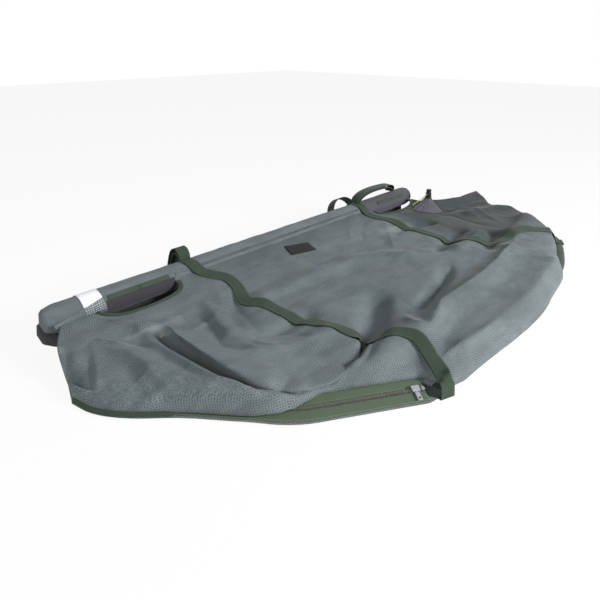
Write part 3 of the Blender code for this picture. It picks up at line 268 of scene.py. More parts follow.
def knitted(name, colour, pale, open_share, shaded=0):
    """A mesh cloth whose holes follow the piece's own map. shaded darkens it with painted shade beside
    the bar and past the right strap."""
    finish = Finish(name, 0.82, Sheen_Weight=0.12, Sheen_Roughness=0.45,
                    Specular_IOR_Level=CLOTH_GLOSS)
    at = finish.place()
    u, v, _ = finish.split(at)
    drawn = (finish.noise(at, 110, 2) - 0.5) * 0.0040
    cell = (u + v + drawn).wave(HOLE_WAVE) * (u - v + drawn).wave(HOLE_WAVE)
    hole = cell.over(0.45, 0.10)
    thread = finish.noise(at, 1400, 2)
    slow = finish.noise(at, 7, 3)
    wrinkle_and_painted_sheen = finish.noise(finish.place("UV", (0.30, 1, 1), 0.6), 40, 5, 0.70)
    x, y, _ = finish.split(finish.place("Object"))
    # Painted shade: beside the bar and past the right strap the colour goes towards 0.42 of itself.
    shade_past_strap = x.over(0.37, 0.05) * y.over(-0.355, 0.03)
    shade_by_bar = y.over(-0.050, 0.03) * x.over(-0.27, 0.03)
    shade = (shade_past_strap * 0.85 + shade_by_bar * 0.45) * shaded
    # The wrinkle noise also paints paler streaks into the colour: painted sheen. The slow noise is
    # random tone.
    tone = slow * 0.45 + wrinkle_and_painted_sheen * 0.55
    shown = finish.mix(tone.over(0.5, 0.17) * 0.7 + thread * 0.25, colour, pale)
    finish.feed(Base_Color=finish.mix(shade, shown, [value * 0.42 for value in colour]),
                Alpha=1 - hole * open_share, Roughness=0.62 + slow * 0.25)
    finish.bump((1 - hole) * 0.15 + thread * 0.05 + wrinkle_and_painted_sheen * 0.8, 0.45, 0.0022)
    return finish


# The front net takes the painted shade; its last argument turns it on.
net = knitted("net_cloth", (0.088, 0.108, 0.114), (0.170, 0.198, 0.205), 0.66, 1)
# The rear net is the same mesh painted darker: painted shade, for it lies under the front cloth.
rear_net_painted_shade = knitted("net_cloth_painted_shade", (0.070, 0.085, 0.088), (0.120, 0.140, 0.144), 0.75)
print("finishes:", net.material.name, rear_net_painted_shade.material.name)

# %% [markdown]
# Webbing is woven in a fine herringbone: ribs that lean one way, then the other. The lean changes with
# the place across the tape, so one wave of the sum and one of the difference of the two map
# directions are mixed. Rows of stitches are short dashes near the edges, a little paler and raised.

# %% Webbing and bindings


def woven(name, colour, pale, width, rows, rib=0.0022, paler_edge=0.25):
    """A woven tape. rows are distances from its middle where a row of stitches runs."""
    finish = Finish(name, 0.70, Sheen_Weight=0.08, Sheen_Roughness=0.5,
                    Specular_IOR_Level=CLOTH_GLOSS)
    at = finish.place()
    u, v, _ = finish.split(at)
    lean = u.wave(width / 2).over(0, 0.08)
    one, two = (u + v).wave(rib), (v - u).wave(rib)
    ribs = one * lean + two * (1 - lean)
    fleck = finish.noise(at, 900, 2)
    slow = finish.noise(at, 30, 3)
    height = ribs * 0.35 + fleck * 0.3
    tone = ribs * 0.16 + fleck * 0.45 + slow * 0.35
    thread = sum(v.wave(0.0042).over(-0.2, 0.3) * (1 - (u - row).size().over(0.00055, 0.0002))
                 for row in rows)
    shown = finish.mix(tone.over(0.42, 0.34), colour, pale)
    shown = finish.mix(thread * 0.75, shown, [1.7 * c for c in pale])
    # The tape is paler along its edges.
    edge = u.size().over(width * 0.47, width * 0.03)
    finish.feed(Base_Color=finish.mix(edge * paler_edge, shown, [1.5 * c for c in pale]),
                Roughness=0.62 + slow * 0.2)
    finish.bump(height + thread * 0.8, 0.5, 0.0005)
    return finish


webbing = woven("olive_webbing", (0.020, 0.033, 0.022), (0.042, 0.062, 0.042), 0.025,
                (-0.0105, 0.0105))
binding = woven("olive_binding", (0.024, 0.036, 0.025), (0.050, 0.068, 0.048), 0.010, (0.003,),
                0.0014)
zip_cloth = woven("sage_zip_tape", (0.062, 0.090, 0.057), (0.100, 0.138, 0.090), 0.019,
                  (-0.0075,), 0.0011, 0.1)
print("finishes:", webbing.material.name, binding.material.name, zip_cloth.material.name)

# %% [markdown]
# The bar sleeves, the collar and the end cloth are plain woven: threads over and under at half a
# millimetre. It shows as a faint grain, with creases and a little dust in the colour.

# %% Plain cloths
THREAD_PITCH = 0.0011
CUT_START, CUT_END, SEWN_BELOW, SLEEVE_SHOWS = -0.447, -0.292, 0.0785, 0.300


def plain(name, colour, pale, roughness=0.78, sheen=0.1, bare=None):
    """A plain woven cloth with slow stains. bare gives its colour where no mesh was sewn over it,
    and painted shade darkens it inside the hand cut-out.
    """
    finish = Finish(name, roughness, Sheen_Weight=sheen, Sheen_Roughness=0.5,
                    Specular_IOR_Level=CLOTH_GLOSS)
    at = finish.place()
    u, v, _ = finish.split(at)
    grain = u.wave(THREAD_PITCH) * v.wave(THREAD_PITCH)
    crease = finish.noise(finish.place("UV", (1, 0.35, 1)), 55, 4)
    slow = finish.noise(at, 14, 3)
    shown = finish.mix((grain * 0.12 + slow * 0.6 + crease * 0.4).over(0.5, 0.28), colour, pale)
    if bare:
        x, _, z = finish.split(finish.place("Object"))
        hole = (x.over(CUT_START, 0.001) * (1 - x.over(CUT_END, 0.001))
                * (1 - z.over(SEWN_BELOW, 0.0008)))
        shown = finish.mix(x.over(SLEEVE_SHOWS, 0.002) + hole, shown, bare)
        # Inside the hand cut-out the bare sleeve goes half way to near black: painted shade.
        shown = finish.mix(hole * 0.5, shown, (0.010, 0.010, 0.012))
    finish.feed(Base_Color=shown, Roughness=roughness - 0.08 + slow * 0.16)
    finish.bump(grain * 0.25 + crease * 0.9, 0.35, 0.0010)
    return finish


sleeve_cloth = plain("grey_sleeve", (0.085, 0.100, 0.108), (0.150, 0.170, 0.180),
                     bare=(0.075, 0.071, 0.086))
# The rear bar's sleeve is the grey sleeve cloth painted darker: painted shade.
painted_shade_sleeve = plain("painted_shade_sleeve", (0.030, 0.033, 0.037), (0.070, 0.076, 0.082))
fine_cloth = plain("violet_grey_cloth", (0.060, 0.056, 0.070), (0.120, 0.113, 0.135))
patch_cloth = plain("blank_patch", (0.006, 0.006, 0.008), (0.016, 0.016, 0.019), 0.6, 0.05)
print("finishes: sleeves, violet grey cloth and blank patch")

# %% [markdown]
# Zip, lock and spring are cast metal, moulded plastic and drawn wire: even colour with a fine speckle,
# and duller where they are rubbed. Foam and nylon differ from them in numbers only, so one function
# makes all five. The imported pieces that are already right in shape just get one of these.

# %% Hard finishes


def refinish(finish, *names):
    """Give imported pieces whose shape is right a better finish."""
    for name in names:
        nodes[name].data.materials.clear()
        nodes[name].data.materials.append(finish.material)


def hard(name, colour, dark, roughness, metallic=0.0, scale=400, coat=0.0):
    """Cast metal or moulded plastic: fine speckle, and rubbed where noise is high."""
    finish = Finish(name, roughness, Metallic=metallic, Coat_Weight=coat)
    at = finish.place("Object")
    speck = finish.noise(at, scale, 3)
    rub = finish.noise(at, 60, 3)
    finish.feed(Base_Color=finish.mix(speck.over(0.5, 0.2) * 0.5 + rub * 0.3, colour, dark),
                Roughness=roughness - 0.1 + rub * 0.22)
    finish.bump(speck, 0.12, 0.0002)
    return finish


metal = hard("painted_zip_metal", (0.40, 0.41, 0.44), (0.22, 0.22, 0.24), 0.42, 0.55)
black = hard("black_plastic", (0.012, 0.012, 0.014), (0.004, 0.004, 0.005), 0.36, coat=0.15)
steel = hard("spring_steel", (0.55, 0.55, 0.56), (0.30, 0.30, 0.32), 0.3, 1.0)
foam = hard("foam", (0.080, 0.080, 0.085), (0.035, 0.035, 0.038), 0.9, scale=900)
nylon = hard("coil_nylon", (0.150, 0.145, 0.118), (0.080, 0.080, 0.064), 0.45, scale=700)
print("finishes: metal, plastic, steel, foam, nylon")

# %% [markdown]
# The reflective band is a film of tiny glass beads, sealed in cells whose lines cross at a slant, so
# two waves on a turned map draw the lines. The drawcord is braided: its strands cross the same way,
# but round the cord, so their waves follow the cord's own place in space.

# %% Reflective tape and braid
glint = Finish("reflective_tape", 0.38, Coat_Weight=0.2)
at = glint.place("UV", turn=math.radians(45))
u, v, _ = glint.split(at)
beads = glint.noise(glint.place(), 1800, 2)
cell_line = 1 - (u.wave(0.006).size() * v.wave(0.006).size()).over(0.10, 0.08)
smear = glint.noise(glint.place(), 50, 3)
glint.feed(Base_Color=glint.mix(cell_line * 0.30 + smear.over(0.62, 0.12) * 0.25, (0.80, 0.81, 0.88),
                                (0.55, 0.57, 0.63)), Roughness=0.28 + beads * 0.25)
glint.bump(beads * 0.4 + cell_line, 0.2, 0.0003)

cord_braid = Finish("yellow_green_braid", 0.6, Sheen_Weight=0.2)
at = cord_braid.place("Object", turn=math.radians(-15))
u, v, w = cord_braid.split(at)
strands = (u + w).wave(0.0012) * (u - w).wave(0.0012)
cord_braid.feed(Base_Color=cord_braid.mix(strands.over(0.1, 0.5), (0.20, 0.22, 0.045),
                                          (0.46, 0.50, 0.12)))
cord_braid.bump(strands, 0.5, 0.0003)
print("finishes:", glint.material.name, cord_braid.material.name)

# %% [markdown]
# Hems, seams, straps and folds of a bag all run along soft curves. Each could be a Blender curve, but
# a plain array of points is easier to measure, to shift sideways and to lay on something. A few points
# are given, and a smooth curve through them is cut into even steps.

# %% Lines in space
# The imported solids' clearance and their thicknesses, then those of the fine pieces.
GAP, CLOTH, TAPE, WEB, WEB_WIDTH = 0.0003, 0.0012, 0.0010, 0.0014, 0.025
FINE_CLOTH, FINE_TAPE, FINE_WEB = 0.0006, 0.0008, 0.0012


def mm(points):
    """Points written in millimetres, in metres."""
    return [tuple(value / 1000 for value in point) for point in points]


def smooth_line(points, count):
    """Points at even steps along the smooth curve through the given ones."""
    known = np.array(points, float)
    ends = np.vstack([2 * known[0] - known[1], known, 2 * known[-1] - known[-2]])
    fine = []
    for k in range(1, len(ends) - 2):
        a, b, c, d = ends[k - 1:k + 3]
        for u in np.linspace(0, 1, 24, endpoint=False):
            fine.append(0.5 * (2 * b + (c - a) * u + (2 * a - 5 * b + 4 * c - d) * u**2
                               + (3 * b - a - 3 * c + d) * u**3))
    return even_steps(np.array(fine + [known[-1]]), count)


def even_steps(line, count):
    """The same line with count points at even distances."""
    run = np.concatenate([[0], np.cumsum(np.linalg.norm(np.diff(line, axis=0), axis=1))])
    at = np.linspace(0, run[-1], count)
    return np.stack([np.interp(at, run, line[:, k]) for k in range(line.shape[1])], axis=1)


def run_of(line):
    """The length of a line."""
    return float(np.linalg.norm(np.diff(line, axis=0), axis=1).sum())


def at_height(line, level):
    """A line in plan, put at one height or at a height for each point."""
    return np.column_stack([line, np.broadcast_to(level, len(line))])


def unit(ways):
    """Directions in rows, each made one long."""
    return ways / np.linalg.norm(ways, axis=1)[:, None]


def outward(line):
    """Unit normals in plan of a course that runs from left to right with the bag behind it."""
    way = unit(np.gradient(line[:, :2], axis=0))
    return np.stack([way[:, 1], -way[:, 0]], axis=1)


print("lines: mm, smooth_line, even_steps, run_of, at_height, unit, outward")

# %% Distance to a line, and noise
FADE_SHARE = 0.18


def beside_line(points, line):
    """Distance in plan from each point to a line, above 0 on its left, the way to that side, and a
    share that falls to 0 at both ends of the line."""
    best, signed = np.full(len(points), 1e9), np.zeros(len(points))
    ways, run = np.zeros((len(points), 2)), np.zeros(len(points))
    for k, (a, b) in enumerate(zip(line[:-1], line[1:])):
        way = b - a
        part = np.clip(((points - a) @ way) / (way @ way), 0, 1)
        off = points - a - part[:, None] * way
        far = np.linalg.norm(off, axis=1)
        left = np.array([-way[1], way[0]]) / np.linalg.norm(way)
        near = far < best
        best[near] = far[near]
        signed[near] = np.where((off @ left)[near] < 0, -far[near], far[near])
        ways[near] = left
        run[near] = (k + part[near]) / (len(line) - 1)
    return signed, ways, np.clip(np.minimum(run, 1 - run) / FADE_SHARE, 0, 1)


def grain(points, scale, seed=0.0):
    """Smooth noise from -1 to 1 at each point."""
    return np.array([noise.noise(Vector(p) * scale + Vector((seed, 0, 0))) for p in points])


def eased(share):
    """0 to 1 with a soft start and end."""
    return share * share * (3 - 2 * share)


print("fields: beside_line, grain, eased")

# %% [markdown]
# Every soft piece is a flat grid, as cloth is before it is cut: a function then moves each point of the
# grid to its place. The grid's flat places, or on draped cloth the lengths along its rows and columns,
# become the map that the weave follows, so the threads bend with the folds. Cloth could also be
# simulated, but the folds of a photograph are met sooner by giving each its line. Solidify gives the
# piece its thickness last.

# %% From a shape to a piece on its body


def settle(bm, name, finish, body, replaced=(), thick=0.0, blend=None):
    """Make the object, give it its finish and thickness, and hang it on its body. Given a blend, its
    place is only baked, and it hangs on no body.
    """
    item = shaped(name, bm, finish)
    item.data.shade_smooth()
    if blend:
        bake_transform(item)
    else:
        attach(item, body)
    if replaced:
        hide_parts(*replaced)
    if thick:
        wall = item.modifiers.new("thickness", "SOLIDIFY")
        wall.thickness, wall.offset = thick, -1
    return item


def closed(bm):
    """Join the rims of a grid that was rolled up, and turn its faces outwards."""
    bmesh.ops.remove_doubles(bm, verts=bm.verts, dist=0.00002)
    bmesh.ops.recalc_face_normals(bm, faces=bm.faces)
    return bm


print("pieces: settle, closed")

# %% Cut-outs in a grid


def within(points, outline):
    """Which points lie inside a closed outline in plan."""
    hit = np.zeros(len(points), bool)
    for (x0, y0), (x1, y1) in zip(outline, np.roll(outline, -1, axis=0)):
        if y0 != y1:
            cross = x0 + (points[:, 1] - y0) * (x1 - x0) / (y1 - y0)
            hit ^= ((y0 > points[:, 1]) != (y1 > points[:, 1])) & (points[:, 0] < cross)
    return hit


def nearest_on(spot, outline):
    """The point of a closed outline nearest to a spot in plan."""
    after = np.roll(outline, -1, axis=0) - outline
    part = np.clip(((spot - outline) * after).sum(axis=1) / (after**2).sum(axis=1), 0, 1)
    places = outline + after * part[:, None]
    return places[np.argmin(np.linalg.norm(places - spot, axis=1))]


def cut_out(bm, placed, cuts):
    """Delete the faces inside each outline, and draw the rest of the rim onto it."""
    gone, rims = [], []
    for outline in cuts:
        inside = within(placed, outline)
        gone += [f for f in bm.faces if all(inside[v.index] for v in f.verts)]
        rims += [(v, outline) for v in bm.verts if inside[v.index]]
    bmesh.ops.delete(bm, geom=gone, context="FACES")
    for vert, outline in rims:
        if vert.is_valid:
            vert.co.xy = nearest_on(np.array(vert.co.xy), outline)


print("cuts: within, nearest_on, cut_out")

# %% The flat grid and its map


def lengths(placed, columns, flat):
    """How far each point of a grid lies along its row, from the middle, and along its column."""
    order = np.lexsort((np.rint(flat[:, 0] * columns), np.rint(flat[:, 1] * 9999)))
    table = placed[order].reshape(-1, columns + 1, 3)
    along_row = np.cumsum(np.linalg.norm(np.diff(table, axis=1, prepend=table[:, :1]), axis=2), 1)
    up_column = np.cumsum(np.linalg.norm(np.diff(table, axis=0, prepend=table[:1]), axis=2), 0)
    along_row -= along_row[:, columns // 2:columns // 2 + 1]
    spread = np.empty((len(placed), 2))
    spread[order] = np.stack([along_row, up_column - up_column[-1:]], axis=2).reshape(-1, 2)
    return spread


def flat_grid(columns, rows, place, size=None, cuts=()):
    """A grid moved by place(s, t) to its points. t runs from top to hem. Its map is in metres: its
    flat size, or the lengths along its own rows and columns where no size is given."""
    bm = bmesh.new()
    bmesh.ops.create_grid(bm, x_segments=columns, y_segments=rows, size=0.5)
    flat = np.array([v.co[:2] for v in bm.verts]) + 0.5
    layer = bm.loops.layers.uv.new("flat")
    bm.verts.index_update()
    placed = place(flat[:, 0], 1 - flat[:, 1])
    spread = lengths(placed, columns, flat) if size is None else (flat - (0.5, 0)) * size
    for face in bm.faces:
        for loop in face.loops:
            loop[layer].uv = spread[loop.vert.index]
    for vert, spot in zip(bm.verts, placed):
        vert.co = spot
    cut_out(bm, placed, cuts)
    return bm


print("grids: lengths, flat_grid")

# %% [markdown]
# Webbing and binding bend along their length and hardly across it. So a tape is a grid too, but a line
# in space and a direction of its width at each point say all about it. A band round a bar is the same
# with an arc for its line.

# %% Tapes and bands


def ribbon(name, middle, across, width, thick, finish, body, replaced=(), cells=6, bow=0.0,
           blend=None):
    """A tape along a line in space. across gives the way of its width at each point, and width is
    one value or one for each point."""
    middle, across = np.array(middle, float), unit(np.array(across, float))
    up = unit(np.cross(across, np.gradient(middle, axis=0)))
    count = len(middle)
    widths = np.broadcast_to(width, count)

    def place(s, t):
        k = np.rint(t * (count - 1)).astype(int)
        lift = thick + bow * (1 - (2 * s - 1)**2)
        return middle[k] + across[k] * (widths[k] * (0.5 - s))[:, None] + up[k] * lift[:, None]

    return settle(flat_grid(cells, count - 1, place, (widths.min(), run_of(middle))), name, finish,
                  body, replaced, thick, blend)


def arc_band(name, x, width, start, end, radius, thick, finish, body, axis, replaced, steps, cells):
    """A band that hugs a bar, from one angle to another, counted from the front over the top."""
    angles = np.radians(np.linspace(start, end, steps))
    middle = np.column_stack([np.full(steps, x), axis[0] - radius * np.cos(angles),
                              axis[1] + radius * np.sin(angles)])
    return ribbon(name, middle, np.tile([1.0, 0, 0], (steps, 1)), width, thick, finish, body,
                  replaced, cells)


print("tapes: ribbon, arc_band")

# %% Heights and wires


def surface(*items):
    """Trees of the objects' faces, to look up heights on."""
    bpy.context.view_layer.update()
    return [BVHTree.FromPolygons([item.matrix_world @ v.co for v in item.data.vertices],
                                 [p.vertices[:] for p in item.data.polygons]) for item in items]


def height_at(trees, x, y):
    """The highest place of the trees below a spot in plan, or nan where there is none."""
    found = [t.ray_cast(Vector((x, y, 1)), Vector((0, 0, -1)))[0] for t in trees]
    found = [hit.z for hit in found if hit is not None]
    return max(found) if found else math.nan


def round_curve(name, points, radius, roundness):
    """A curve of one open spline with a round section."""
    curve = bpy.data.curves.new(name, "CURVE")
    curve.dimensions = "3D"
    curve.bevel_depth, curve.bevel_resolution, curve.use_fill_caps = radius, roundness, True
    spline = curve.splines.new("POLY")
    spline.points.add(len(points) - 1)
    spline.points.foreach_set("co", np.column_stack([points, np.ones(len(points))]).ravel())
    return curve


def wire(name, points, radius, finish, body, replaced=()):
    """A round wire or thread along a line of points, as a mesh."""
    form = bpy.data.objects.new(name, round_curve(name, points, radius, 1))
    bm = bmesh.new()
    bm.from_mesh(form.to_mesh())
    form.to_mesh_clear()
    bpy.data.objects.remove(form)
    return settle(bm, name, finish, body, replaced)


print("heights and wires: surface, height_at, round_curve, wire")

# %% [markdown]
# The front panel is one sheet between four edges: the bar, the hem, the open left end and the edge past
# the collar. Its plan is blended from those edges, and its height is a low dome with the folds of the
# photograph laid over it, each a line with a lift and a width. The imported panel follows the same
# numbers, so the fine cloth lies on it.

# %% Sizes of the bag
BAR_RADIUS = 0.025
BAR_END = 0.51
REAR_AXIS = (0.028, 0.0265)
FRONT_AXIS = (0.0, 0.0265 + math.sqrt((2 * BAR_RADIUS + GAP)**2 - 0.028**2))
EDGE_ANGLE = math.radians(-8)
EDGE_Y = -(BAR_RADIUS + 2 * GAP + CLOTH) * math.cos(EDGE_ANGLE)
EDGE_Z = FRONT_AXIS[1] + BAR_RADIUS * math.sin(EDGE_ANGLE)
UNDER_LIFT = 0.0019
ZIP_TILT = math.radians(15)
COIL_RADIUS, COIL_WIDTH = 0.0022, 0.0064
ZIP_TAPE_WIDTH, SEAM_WIDTH, LAP, FRINGE = 0.019, 0.022, 0.005, 0.003
ZIP_INNER = COIL_WIDTH / 2 + ZIP_TAPE_WIDTH
COIL_Z = CLOTH + GAP + UNDER_LIFT + TAPE + ZIP_INNER * math.sin(ZIP_TILT)
HEM_ON_COIL = COIL_Z + TAPE + CLOTH + 3 * GAP
HEM_ON_ZIP = HEM_ON_COIL + (ZIP_INNER - LAP) * math.sin(ZIP_TILT)
HEM_ON_SEAM = CLOTH + GAP + UNDER_LIFT + TAPE + CLOTH + 3 * GAP
HEM_LOW = CLOTH + UNDER_LIFT + 5 * GAP
ZIP_COURSE = mm([(-183, -507), (-336, -412.5), (-395, -345), (-450, -276), (-503, -222),
    (-530, -182), (-539, -143)])
SEAM_COURSE = mm([(-160, -518), (-60, -518), (50, -523), (130, -524), (205, -520), (280, -508),
    (350, -498), (420, -485), (480, -471), (545, -448), (610, -420)])
END_SEAM_COURSE = mm([(650, -394), (705, -345), (748, -285), (772, -225), (780, -175)])
LEFT_EDGE = [(-0.516, EDGE_Y, 0.0580), (-0.538, -0.060, 0.0440), (-0.550, -0.100, 0.0240)]
COLLAR_EDGE = mm([(530, -50, 60), (588, -78, 50), (648, -95, 50), (706, -113, 50), (756, -140, 38)])
HEM_OVER_ZIP = ((-0.385, -0.364, -0.348, -0.332, -0.319),
                (0.0215, 0.0140, 0.0040, -0.0100, LAP - ZIP_INNER))
HEM_OVER_SEAM = ((0.390, 0.490), (0.0210, LAP - SEAM_WIDTH / 2))
print("bars:", round(2 * BAR_END, 3), "m long, axes at", REAR_AXIS, np.round(FRONT_AXIS, 4))

# %% The edges of the front panel


def zip_line(count):
    """The coil's course from the left corner to the strap, straight for the slider's travel."""
    start, straight = np.array(ZIP_COURSE[0]), np.array(ZIP_COURSE[1])
    bend = smooth_line(ZIP_COURSE, 200)
    near = np.linalg.norm(bend - start, axis=1) < np.linalg.norm(straight - start)
    return even_steps(np.vstack([start, bend[~near]]), count)[::-1]


def panel_sides():
    """The four edge curves of the front panel."""
    bar_line = [(x, EDGE_Y, EDGE_Z) for x in np.linspace(-0.44, BAR_END - 0.01, 9)]
    top = smooth_line([LEFT_EDGE[0]] + bar_line + COLLAR_EDGE, 200)
    zip_hem = zip_line(60)
    reach = np.interp(zip_hem[:, 0], *HEM_OVER_ZIP)
    level = HEM_ON_COIL - reach * math.sin(ZIP_TILT)
    level += 2 * COIL_RADIUS * np.exp(-(reach / COIL_WIDTH)**2)
    zip_hem = at_height(zip_hem + outward(zip_hem) * reach[:, None], level)
    seam = smooth_line(SEAM_COURSE, 80)
    from_zip = np.linalg.norm(seam - seam[0], axis=1)
    reach = np.interp(seam[:, 0], *HEM_OVER_SEAM)
    level = np.interp(reach, HEM_OVER_SEAM[1][::-1], (HEM_ON_SEAM, HEM_LOW))
    level += (HEM_ON_ZIP - level) * np.clip(1 - from_zip / 0.045, 0, 1)
    seam = at_height(seam + outward(seam) * reach[:, None], level)
    bottom = even_steps(np.vstack([zip_hem, seam]), 200)
    end = smooth_line(END_SEAM_COURSE, 60)
    end = at_height(end - outward(end) * (SEAM_WIDTH / 2 - LAP), HEM_ON_SEAM)
    right = smooth_line([tuple(top[-1])] + [tuple(p) for p in end[::-12]] + [tuple(bottom[-1])], 80)
    left = smooth_line([tuple(top[0])] + LEFT_EDGE[1:] + [tuple(bottom[0])], 80)
    return top, bottom, left, right


SIDES = panel_sides()
print("edges:", [round(run_of(edge), 3) for edge in SIDES], "m long")

# %% A sheet between four edges


def along(line, share):
    """Points at shares of a line."""
    at = np.clip(share, 0, 1) * (len(line) - 1)
    return np.stack([np.interp(at, range(len(line)), line[:, k]) for k in range(3)], axis=-1)


def between(sides, s, t):
    """The smooth sheet that fills four edge curves."""
    top, bottom, left, right = sides
    s_, t_ = s[:, None], t[:, None]
    return ((1 - t_) * along(top, s) + t_ * along(bottom, s)
            + (1 - s_) * along(left, t) + s_ * along(right, t)
            - (1 - s_) * (1 - t_) * top[0] - s_ * (1 - t_) * top[-1]
            - (1 - s_) * t_ * bottom[0] - s_ * t_ * bottom[-1])


print("sheet: along, between")

# %% [markdown]
# Three kinds of fold are enough. A round one is a soft swell. A crease is sharp at its line and fades to
# both sides, up for a ridge and down for a valley. A lip also pushes the cloth beside the line over
# it, so that the fold overhangs and its underside falls dark, as at the deep fold of the near end.

# %% Round folds


def folds(rows):
    """Rows of a lift, a width and a line, written in millimetres."""
    return [(lift / 1000, width / 1000, np.array(mm(line))) for lift, width, line in rows]


ROUND_FOLDS = folds([
    (16, 20, [(-480, -55), (-420, -95), (-390, -145), (-378, -196), (-376, -250), (-372, -300),
        (-350, -345)]),
    (-19, 12, [(-402, -140), (-404, -190), (-400, -240), (-388, -300), (-372, -345), (-328, -388),
        (-285, -405), (-225, -398), (-165, -380)]),
    (12, 18, [(-505, -70), (-482, -100), (-466, -160), (-462, -215), (-452, -265), (-430, -315),
        (-395, -360), (-350, -405), (-300, -425), (-250, -428)]),
    (-8, 14, [(-492, -45), (-455, -82), (-430, -125)]),
    (-6, 12, [(-505, -90), (-522, -145), (-530, -185)]),
    (-5, 14, [(-484, -190), (-490, -235), (-488, -265)]),
    (14, 30, [(-250, -442), (-185, -432), (-130, -420), (-105, -440)]),
    (12, 24, [(-190, -155), (-120, -160), (-40, -160), (72, -172), (140, -200), (170, -240)]),
    (-12, 20, [(-120, -60), (-20, -75), (80, -80), (180, -62)]),
    (-24, 26, [(-45, -315), (-90, -342), (-150, -380)]),
    (-12, 14, [(170, -340), (131, -357), (70, -372), (0, -392)]),
    (11, 22, [(380, -392), (257, -408), (113, -420), (12, -422), (-50, -436)]),
    (-3, 16, [(300, -448), (120, -456), (0, -462), (-80, -480)]),
    (10, 22, [(-70, -508), (20, -522), (110, -522), (240, -508), (400, -486)]),
    (-6, 16, [(-240, -110), (-262, -155), (-290, -200)]),
    (10, 16, [(-285, -100), (-300, -160), (-320, -220)]),
    (-10, 18, [(-290, -250), (-230, -262), (-180, -262)]),
    (8, 18, [(-340, -290), (-270, -320), (-200, -330)]),
    (-12, 16, [(270, -112), (345, -124), (420, -150)]),
    (-12, 16, [(270, -262), (345, -252), (420, -240)]),
    (10, 18, [(300, -300), (360, -302), (430, -290)]),
    (-10, 14, [(360, -345), (395, -332), (450, -310)]),
    (14, 24, [(480, -350), (560, -340), (640, -320)]),
    (-14, 18, [(545, -118), (618, -135), (700, -165), (760, -210)]),
    (8, 16, [(560, -190), (650, -215), (740, -270)]),
])
print("round folds:", len(ROUND_FOLDS))

# %% Creases and the lip
CREASES = folds([
    (11, 14, [(-60, -385), (-90, -425), (-84, -450), (-40, -442), (12, -424)]),
    (7, 5, [(-130, -500), (-104, -504), (-66, -512), (-20, -516), (60, -512)]),
    (-6, 7, [(-318, -110), (-318, -148), (-328, -185), (-348, -225), (-356, -262)]),
    (6, 10, [(-295, -190), (-306, -281), (-299, -337), (-268, -375)]),
    (-6, 9, [(-392, -120), (-396, -150), (-399, -208), (-401, -255), (-396, -300), (-393, -345),
        (-368, -374), (-325, -406), (-278, -424), (-225, -414), (-170, -388), (-120, -352)]),
    (8, 12, [(-372, -118), (-380, -150), (-376, -197), (-380, -256), (-378, -300), (-376, -340),
        (-350, -364), (-312, -390), (-270, -404), (-220, -394), (-165, -370)]),
    (15, 13, [(-500, -10), (-467, -35), (-426, -105), (-421, -200), (-416, -304), (-392, -372),
        (-358, -412), (-300, -440), (-240, -436)]),
    (8.5, 11, [(-512, -60), (-491, -91), (-476, -129), (-471, -179), (-472, -234), (-470, -269),
        (-453, -291), (-417, -335), (-388, -366)]),
    (-7, 9, [(-503, -40), (-477, -62), (-449, -110), (-432, -170), (-430, -250), (-425, -300)]),
    (5, 4, [(500, -340), (434, -376), (264, -405), (185, -413), (117, -415), (59, -414), (20, -412),
        (-20, -430), (-60, -438)]),
    (-8.5, 10, [(221, -321), (178, -346), (131, -360), (70, -372), (14, -386)]),
    (6.5, 5, [(-160, -392), (-213, -414), (-252, -420), (-291, -415)]),
    (-5.5, 5, [(-160, -401), (-213, -424), (-250, -429), (-285, -426)]),
    (6, 8, [(-496, -90), (-519, -149), (-543, -191)]),
    (-6, 7, [(-508, -100), (-530, -151), (-547, -190)]),
    (4.5, 6, [(-519, -76), (-541, -119), (-552, -161)]),
    (6.5, 8, [(-487, -207), (-489, -246), (-486, -263)]),
    (7.5, 8, [(270, -18), (235, -40), (190, -60), (150, -100)]),
    (-6, 8, [(285, -30), (255, -56), (210, -82), (170, -120)]),
    (5, 8, [(325, -65), (290, -105), (240, -150), (160, -219)]),
    (-5, 9, [(335, -85), (305, -120), (262, -155)]),
    (5, 8, [(-362, -166), (-326, -158), (-311, -164), (-323, -190), (-318, -216)]),
    (4.5, 8, [(-238, -80), (-254, -107), (-284, -160)]),
    (-4.5, 8, [(-222, -108), (-248, -150), (-280, -252)]),
    (4, 9, [(-320, -206), (-325, -298), (-294, -354), (-255, -381)]),
    (3.5, 6, [(-512, -81), (-500, -97), (-478, -110)]),
    (-4.5, 12, [(-260, -246), (-247, -285), (-239, -328)]),
    (5, 10, [(-121, -500), (-73, -508), (-5, -514), (50, -518)]),
    (4, 10, [(28, -150), (60, -190), (150, -235), (240, -280)]),
    (-5, 12, [(-11, -340), (-20, -380), (-30, -410)]),
    (4.5, 8, [(564, -85), (600, -135), (588, -220), (545, -300)]),
    (-4, 9, [(480, -93), (520, -162), (500, -240), (500, -320)]),
    (4, 8, [(620, -100), (660, -160), (690, -240)]),
])
LIPS = folds([
    (24, 12, [(-372, -100), (-378, -150), (-380, -190), (-382, -240), (-378, -300), (-366, -345),
        (-336, -382), (-290, -402), (-235, -398), (-185, -374), (-130, -335)]),
])
print("creases:", len(CREASES), "and", len(LIPS), "lip")

# %% [markdown]
# Beside the bar the mesh hangs from the bar's shoulder, but across the hand cut-outs it is pulled taut.
# Everywhere else a low dome carries the folds, and the sheet rolls down to its hem. Noise adds the
# small dents that no list of folds could hold.

# %% Beside the bar
# Shares from 0 to 1 at places along the bar, then how far in front of the bar this shape ends.
BETWEEN_STRAPS = ((-0.300, -0.280, 0.265, 0.330), (0, 1, 1, 0))
TAUT = ((-0.560, -0.500, 0.500, 0.560), (0, 1, 1, 0))
SHOULDER_END, SHOULDER_FADE, EDGE_OVER = 0.125, 0.080, 0.006


